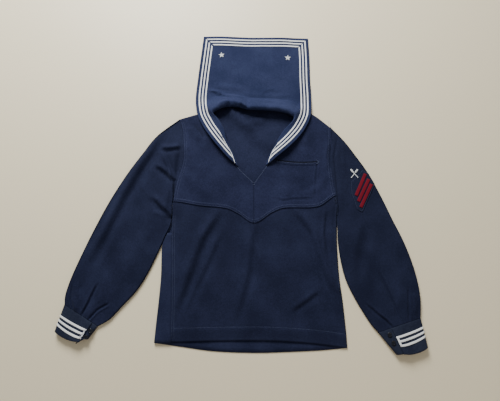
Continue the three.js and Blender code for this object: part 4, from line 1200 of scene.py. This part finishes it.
# Badge
# A patch of the same wool on the wearer's left sleeve, with three bars of red felt sewn
# across it and a pair of crossed oars above, worked in white thread.
BARS = [
    ((278.5, 404), (307, 465)),
    ((284, 388), (315.5, 450)),
    ((289.5, 372), (322, 436)),
]
BAR_WIDTH = 8.6
BAR_CLOTH = 1.0
BADGE_PATCH = [(266, 441), (300, 476), (316, 468), (332, 437), (293, 358), (280, 366), (266, 410)]
OARS = {
    "centre": (277.5, 466), "length": 31, "lean": 0.66,
    "shaft": 2.2, "blade": 5.2, "blade_length": 10,
}
red_felt = wool(
    "Red felt", (0.15, 0.003, 0.012), (0.2, 0.006, 0.02), mottle=0.4, twill=0.0, sheen=0.02)
white_thread = finish(
    "White thread", WOVEN_TAPE, {"Thread": (0.85, 0.86, 0.84, 1), "Threads": 520.0, "Dust": 0.12},
    {"Specular IOR Level": 0.4, "Sheen Weight": 0.08}, (0.6, 0.0003))


def fan_grid(outline, pitch, rings):
    """A patch's plan as rings from its outline in to its middle."""
    ring = spaced([*outline, outline[0]], pitch)
    middle = ring.mean(axis=0)
    ring = np.concatenate([ring, ring[:1]])
    return np.array([ring + (middle - ring) * share for share in np.linspace(0, 0.98, rings)])


def laid_on(surface, plan, lift):
    """A grid in plan, laid on a surface and lifted off it."""
    heights = height_over(surface, plan.reshape(-1, 2)).reshape(plan.shape[:2])
    return np.dstack([plan, heights + lift])


patch_plan = fan_grid(BADGE_PATCH, pitch=3.0, rings=22)
patch_grid = laid_on(surface_of(*sleeve_sheets["left"]), patch_plan, SEAM_GAP + TAPE_CLOTH)
# The patch takes the left sleeve's colour, with its painted shade
backing = add_piece(
    "badge_patch", *wall(*joined([cloth_grid(patch_grid)]), TAPE_CLOTH), sleeve_wool_by_light["left"], "wool")
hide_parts("badge_backing")
patch_surface = surface_of(*together(sleeve_sheets["left"], joined([patch_grid])))
bar_offsets = np.linspace(-BAR_WIDTH / 2, BAR_WIDTH / 2, 9)
bar_lift = SEAM_GAP + BAR_CLOTH * (1 - 0.3 * (np.abs(bar_offsets) / (BAR_WIDTH / 2)) ** 4)
for k, (start, end) in enumerate(BARS):
    grid = ribbon(np.linspace(start, end, 30), bar_offsets, patch_surface, bar_lift)
    bar = add_piece(
        f"badge_felt_{k + 1}", *wall(*joined([cloth_grid(grid)]), TAPE_CLOTH), red_felt, "red_braid")
    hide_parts(f"badge_bar_{k + 1}")


SATIN_THREAD = 0.36
SATIN_LIFT = 0.75


def satin(path, width, surface, pitch):
    """Satin stitch: threads laid side by side across a path, each the width at its place."""
    centres = spaced(path, pitch)
    half = left_of(centres) * np.reshape(width(np.linspace(0, 1, len(centres))), (-1, 1)) / 2
    heights = height_over(surface, centres) + SATIN_LIFT
    starts = np.column_stack([centres - half, heights])
    return stitch_mesh(starts, np.column_stack([centres + half, heights]), SATIN_THREAD)


def oar_width(share):
    """An oar's width from its handle to the tip of its blade."""
    blade_from = 1 - OARS["blade_length"] / OARS["length"]
    spread = smoothstep(blade_from - 0.06, blade_from + 0.04, share)
    return along(OARS["shaft"], OARS["blade"], spread) * (1 - 0.35 * smoothstep(0.96, 1, share))


oar_solids = []
for sign in (-1, 1):
    half = np.array([sign * np.sin(OARS["lean"]), np.cos(OARS["lean"])]) * OARS["length"] / 2
    path = np.array([OARS["centre"] - half, OARS["centre"] + half])
    oar_solids.append(satin(path, oar_width, patch_surface, pitch=0.55))
oars = add_piece("badge_threads", *together(*oar_solids), white_thread, "white_thread")
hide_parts("badge_oars")
patch_outline = np.array([*BADGE_PATCH, BADGE_PATCH[0]], float)
patch_outline = along(patch_outline, patch_outline.mean(axis=0), 0.05)
add_piece("badge_stitches", *sew([patch_outline], patch_surface), navy_thread, "wool")

# Collar
# A wide square of navy flannel, sewn round the neck and turned up here so that its taped side
# shows. It stands in a roll at the back neck, and its front ends run down both sides of the V.
collar_wool = wool(
    "Collar flannel", (0.0115, 0.0175, 0.055), (0.035, 0.045, 0.105), mottle=0.5, twill=0.3, sheen=0.06)
COLLAR_WOOL = 2.2
ON_FLOOR = COLLAR_WOOL
SEAM_HEIGHT = 2.6
# Stations round the collar: its fold and its edge in plan, how high the fold rises, how far the
# neck seam is tucked in behind it, how far out the cloth settles and at what height it lies
COLLAR = table(
    "foldX foldY edgeX edgeY rise tuck settle lies",
    (-41, 487, -49, 492, 11, 0, 5, 14),
    (-49, 512, -69, 510, 11.5, 0, 14, 21),
    (-62, 538, -97, 542, 12.5, 0, 26, 23),
    (-73, 563, -121, 574, 14, 0, 34, 20),
    (-79, 590, -140, 604, 16, 0, 34, 16),
    (-95, 620, -155, 637, 20, 3, 34, 14),
    (-110, 636, -162, 686, 24, 8, 62, 5),
    (-103, 645, -158, 748, 26, 11, 56, ON_FLOOR),
    (-93, 650, -151, 818, 27, 12, 58, ON_FLOOR),
    (-82, 654, -144, 886, 28, 13, 58, ON_FLOOR),
    (-66, 657, -95, 887, 28, 12, 58, ON_FLOOR),
    (-45, 655, -50, 885, 28, 13, 56, ON_FLOOR),
    (-12, 648, -5, 883, 27, 16, 56, ON_FLOOR),
    (22, 646, 45, 883, 27, 17, 56, ON_FLOOR),
    (50, 645, 90, 883, 27, 17, 56, ON_FLOOR),
    (74, 642, 128, 881, 26, 16, 56, ON_FLOOR),
    (88, 639, 163, 880, 26, 15, 58, ON_FLOOR),
    (99, 636, 165, 818, 25, 13, 58, ON_FLOOR),
    (108, 631, 165, 748, 25, 10, 56, ON_FLOOR),
    (114, 625, 166, 686, 23, 7, 62, 5),
    (108, 613, 162, 634, 20, 3, 34, 14),
    (90, 595, 144, 593, 16, 0, 34, 17),
    (77, 577, 120, 561, 14, 0, 34, 21),
    (63, 551, 93, 534, 12.5, 0, 26, 24),
    (47, 522, 65, 511, 11.5, 0, 14, 21),
    (35, 490, 44, 493, 11, 0, 5, 14),
)
COLLAR_LAST = len(COLLAR["rise"]) - 1
COLLAR_CORNERS = (9, 16)
COLLAR_SECTIONS = 301
ROLL_POINTS = 36
FLAT_POINTS = 45
collar_fold = through(np.column_stack([COLLAR["foldX"], COLLAR["foldY"]]))
edge_stations = np.column_stack([COLLAR["edgeX"], COLLAR["edgeY"]])
collar_spans = [
    (low, high, through(edge_stations[low:high + 1]))
    for low, high in zip((0, *COLLAR_CORNERS), (*COLLAR_CORNERS, COLLAR_LAST))]


def collar_edge(station):
    """The collar's outer edge, which turns a corner between its spans."""
    low, high, curve = next(span for span in collar_spans if station <= span[1])
    return curve((station - low) / (high - low))


def collar_value(station, name):
    """One of the collar's sizes at a station or between two."""
    return np.interp(station, np.arange(COLLAR_LAST + 1), COLLAR[name])


def collar_section(station):
    """One section of the collar, from its neck seam up over the roll and out to its edge."""
    fold = collar_fold(station / COLLAR_LAST)
    edge = collar_edge(station)
    out = edge - fold
    length = np.linalg.norm(out)
    out /= length
    rise, tuck, lies = (collar_value(station, name) for name in ("rise", "tuck", "lies"))
    settle = min(collar_value(station, "settle"), 0.8 * length)
    climb = rise - SEAM_HEIGHT
    roll = np.array([
        (tuck, SEAM_HEIGHT),
        (0.4 * tuck, SEAM_HEIGHT + 0.3 * climb),
        (0, SEAM_HEIGHT + 0.68 * climb),
        (0.04 * settle + 0.6, SEAM_HEIGHT + 0.92 * climb),
        (0.16 * settle + 1.2, rise),
        (0.42 * settle, along(rise, lies, 0.3)),
        (0.74 * settle, along(rise, lies, 0.84)),
        (settle, lies),
    ])
    beyond = [(along(settle, length, 0.5), lies)]
    settled = (len(roll) - 1) / len(roll)
    rounded = through([*roll, *beyond])(np.linspace(0, settled, ROLL_POINTS))
    flat = np.linspace(settle, length, FLAT_POINTS + 1)[1:]
    distance = np.concatenate([rounded[:, 0], flat])
    height = np.concatenate([rounded[:, 1], np.full(len(flat), lies)])
    return np.column_stack([fold + out * distance[:, None], height])


COLLAR_FOLDS = [
    ([(-87, 884), (-86, 778), (-85, 700)], 2.4, 0.0, 0.5),
    ([(4, 884), (4, 778), (6, 699)], 2.4, 0.0, 0.35),
    ([(89, 880), (88, 778), (88, 740)], 2.4, 0.0, -0.45),
    ([(-136, 712), (-105, 706), (-77, 693), (-42, 687), (-4, 687)], 6, 0.0, -3.4),
    ([(-42, 700), (-4, 694), (60, 690), (120, 694)], 7, 0.0, -1.6),
    ([(-120, 730), (-60, 722), (-20, 716)], 9, 1.6, 0.0),
    ([(20, 690), (36, 711), (58, 716), (78, 700)], 4, 0.0, -0.9),
    ([(-60, 742), (0, 752), (70, 744)], 18, 0.9, 0.0),
    ([(-70, 820), (-36, 790), (-20, 740)], 16, 0.0, 0.9),
    ([(30, 800), (60, 770), (90, 730)], 18, 0.0, -0.7),
    ([(-130, 800), (-114, 770), (-106, 720)], 10, 0.7, 0.0),
    ([(120, 850), (132, 810), (130, 770)], 12, 0.7, 0.0),
    ([(20, 880), (26, 850), (24, 820)], 12, 0.8, 0.0),
]
# Folds in the roll at the back neck
NECK_FOLDS = [
    ([(-110, 660), (-84, 672), (-56, 674), (-30, 664), (0, 640)], 6, 3.4, 1.6),
    ([(-44, 640), (-34, 664), (-40, 690)], 5, 3.2, 0.0),
    ([(-22, 636), (-14, 662), (-22, 688)], 5, -3.4, 0.0),
    ([(-70, 640), (-62, 672), (-70, 698)], 6, -2.6, 0.0),
    ([(6, 676), (50, 672), (100, 664)], 6, -2.4, -1.0),
    ([(0, 642), (10, 664), (4, 690)], 8, 1.4, 0.0),
    ([(40, 640), (46, 664), (42, 690)], 8, -1.2, 0.0),
    ([(66, 640), (70, 660), (78, 684)], 8, 1.2, 0.0),
    ([(-104, 648), (-96, 672), (-104, 698)], 6, -1.2, 0.0),
]
# The square starts to lie flat between these heights
SQUARE_FROM = (676, 700)
LEAST_WAVE = 0.35
stations = np.unique(
    np.concatenate([np.linspace(0, COLLAR_LAST, COLLAR_SECTIONS), COLLAR_CORNERS]))
collar_x, collar_y, collar_z = np.moveaxis(
    np.array([collar_section(station) for station in stations]), -1, 0)
square = smoothstep(*SQUARE_FROM, collar_y)
waves = LEAST_WAVE + rumple(collar_x, collar_y, size=30, depth=0.16)
collar_z = collar_z + creased(collar_x, collar_y, COLLAR_FOLDS) * square
collar_z = collar_z + waves * square * smoothstep(ON_FLOOR - 1, ON_FLOOR, collar_z)
collar_z = collar_z + creased(collar_x, collar_y, NECK_FOLDS) * smoothstep(8, 20, collar_z)
collar_grid = np.stack([collar_x, collar_y, np.maximum(collar_z, ON_FLOOR)], axis=-1)
collar_points, collar_quads = joined([cloth_grid(collar_grid[:, ::-1])])
collar = add_piece(
    "collar_cloth", *wall(collar_points, collar_quads, COLLAR_WOOL), collar_wool, "collar_wool")
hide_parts("collar")
collar_surface = surface_of(collar_points, collar_quads)

# How far in from the edge the first row of tape lies, the pitch of the rows, how much cloth is
# left where a front end is too narrow for them, and the pitch of points along a row
COLLAR_TAPE = {"inset": 7.4, "pitch": 8.9, "left": 0.8, "points": 2.5}
# Across a tape: the share of its width and of its thickness
TAPE_ACROSS = np.array([0.1, 0.18, 0.5, 0.82, 0.9])
TAPE_CROWN = np.array([0.6, 0.8, 0.9, 0.8, 0.6])


def span_strip(span, distances):
    """Plan of a strip along one span of the collar's edge, between distances in from it,
    mitred where two spans meet and cut off where a front end is narrower."""
    low, high, curve = span
    dense = np.linspace(0, 1, 400)
    edge = curve(dense)
    inwards = -left_of(edge)
    lengths = lengths_along(edge)
    fold = collar_fold(along(low, high, dense) / COLLAR_LAST)
    width = np.abs(((fold - edge) * inwards).sum(axis=1))
    count = int(lengths[-1] / COLLAR_TAPE["points"])
    rows = []
    for distance in distances:
        start = 0 if low == 0 else distance
        end = lengths[-1] - (0 if high == COLLAR_LAST else distance)
        at = np.linspace(start, end, count)
        reach = np.minimum(distance, width - COLLAR_TAPE["left"])
        picked = [np.interp(at, lengths, edge[:, k] + inwards[:, k] * reach) for k in (0, 1)]
        rows.append(np.column_stack(picked))
    return np.array(rows)


for row in range(3):
    distances = COLLAR_TAPE["inset"] + row * COLLAR_TAPE["pitch"] + TAPE_WIDTH * TAPE_ACROSS
    lift = SEAM_GAP + TAPE_CLOTH * TAPE_CROWN[:, None]
    strips = [
        cloth_grid(laid_on(collar_surface, span_strip(span, distances), lift))
        for span in collar_spans]
    tape = add_piece(
        f"collar_braid_{row + 1}", *wall(*joined(strips), TAPE_CLOTH), white_tape, "white_tape")
    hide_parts(f"collar_tape_{row + 1}")

# Stars
# One in each top corner of the collar, worked in white thread: five points, each filled from
# its middle line outwards with satin stitch. A point is widest at the waist between two points.
STAR_RADIUS = 9.2
STAR_POINTS = 5
STARS = {"right": (-91, 826, 0.1), "left": (102, 817, -0.05)}
waist = 0.42 * STAR_RADIUS
waist_wide = 2 * waist * np.sin(np.pi / STAR_POINTS)
waist_share = waist * np.cos(np.pi / STAR_POINTS) / STAR_RADIUS


def star_width(share):
    """A star point's width from the star's middle to the point's tip."""
    inner, outer = share / waist_share, (1 - share) / (1 - waist_share)
    return waist_wide * np.where(share < waist_share, inner, outer) + 0.5


def star_mesh(x, y, turn):
    """A star's points, each a path of satin stitch out from its middle."""
    centre = np.array([x, y], float)
    solids = []
    for angle in np.pi / 2 + turn + circle(STAR_POINTS):
        tip = centre + np.array([np.cos(angle), np.sin(angle)]) * STAR_RADIUS * 0.98
        solids.append(satin(np.array([centre, tip]), star_width, collar_surface, pitch=0.5))
    return together(*solids)


for side, (x, y, turn) in STARS.items():
    star = add_piece(f"star_threads_{side}", *star_mesh(x, y, turn), white_thread, "white_thread")
    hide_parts(f"star_{side}")

# Floor
# A plain pale floor, as wide as the light reaches.
REACH = 4.0
BELOW = 0.0002
floor_mesh = bpy.data.meshes.new("floor")
floor_mesh.from_pydata(
    [(-REACH, -REACH, 0), (REACH, -REACH, 0), (REACH, REACH, 0), (-REACH, REACH, 0)], [], [(0, 1, 2, 3)])
floor = bpy.data.objects.new("floor", floor_mesh)
bpy.context.scene.collection.objects.link(floor)
floor.location.z = -BELOW
floor_paint = bpy.data.materials.new("Pale floor")
floor_paint.use_nodes = True
paint = floor_paint.node_tree.nodes["Principled BSDF"].inputs
paint["Base Color"].default_value = (0.96, 0.83, 0.57, 1)
paint["Roughness"].default_value = 0.45
floor_mesh.materials.append(floor_paint)

# Light
# A wide soft window light beyond the collar, a low warm one from the hem's side, and a pale sky.
# Each light's name, place, size, power and colour
LIGHTS = [
    ("window", (-0.5, 1.75, 1.3), 1.1, 84, (0.94, 0.97, 1.0)),
    ("lamp", (0.5, -1.9, 1.2), 1.6, 6, (1.0, 0.8, 0.56)),
]
for name, place, size, power, colour in LIGHTS:
    lamp = bpy.data.lights.new(name, "AREA")
    lamp.shape = "DISK"
    lamp.size = size
    lamp.energy = power
    lamp.color = colour
    holder = bpy.data.objects.new(name, lamp)
    holder.location = place
    holder.rotation_euler = (Vector((0, 0, 0)) - holder.location).to_track_quat("-Z", "Y").to_euler()
    bpy.context.scene.collection.objects.link(holder)
sky = bpy.data.worlds.new("sky")
sky.use_nodes = True
air = sky.node_tree.nodes["Background"].inputs
air["Color"].default_value = (0.9, 0.94, 1.0, 1)
air["Strength"].default_value = 0.27
bpy.context.scene.world = sky

# Camera
# Held over the hem's side and tilted 12 degrees from straight down, as in the photograph.
CAMERA_PLACE = (0.0235, -0.2864, 1.115)
CAMERA_AIM = (0.0235, -0.0494, 0)
lens = bpy.data.cameras.new("camera")
lens.sensor_width = 36
lens.lens = 30.24
camera = bpy.data.objects.new("camera", lens)
camera.location = CAMERA_PLACE
camera.rotation_euler = (Vector(CAMERA_AIM) - camera.location).to_track_quat("-Z", "Y").to_euler()
bpy.context.scene.collection.objects.link(camera)
bpy.context.scene.camera = camera
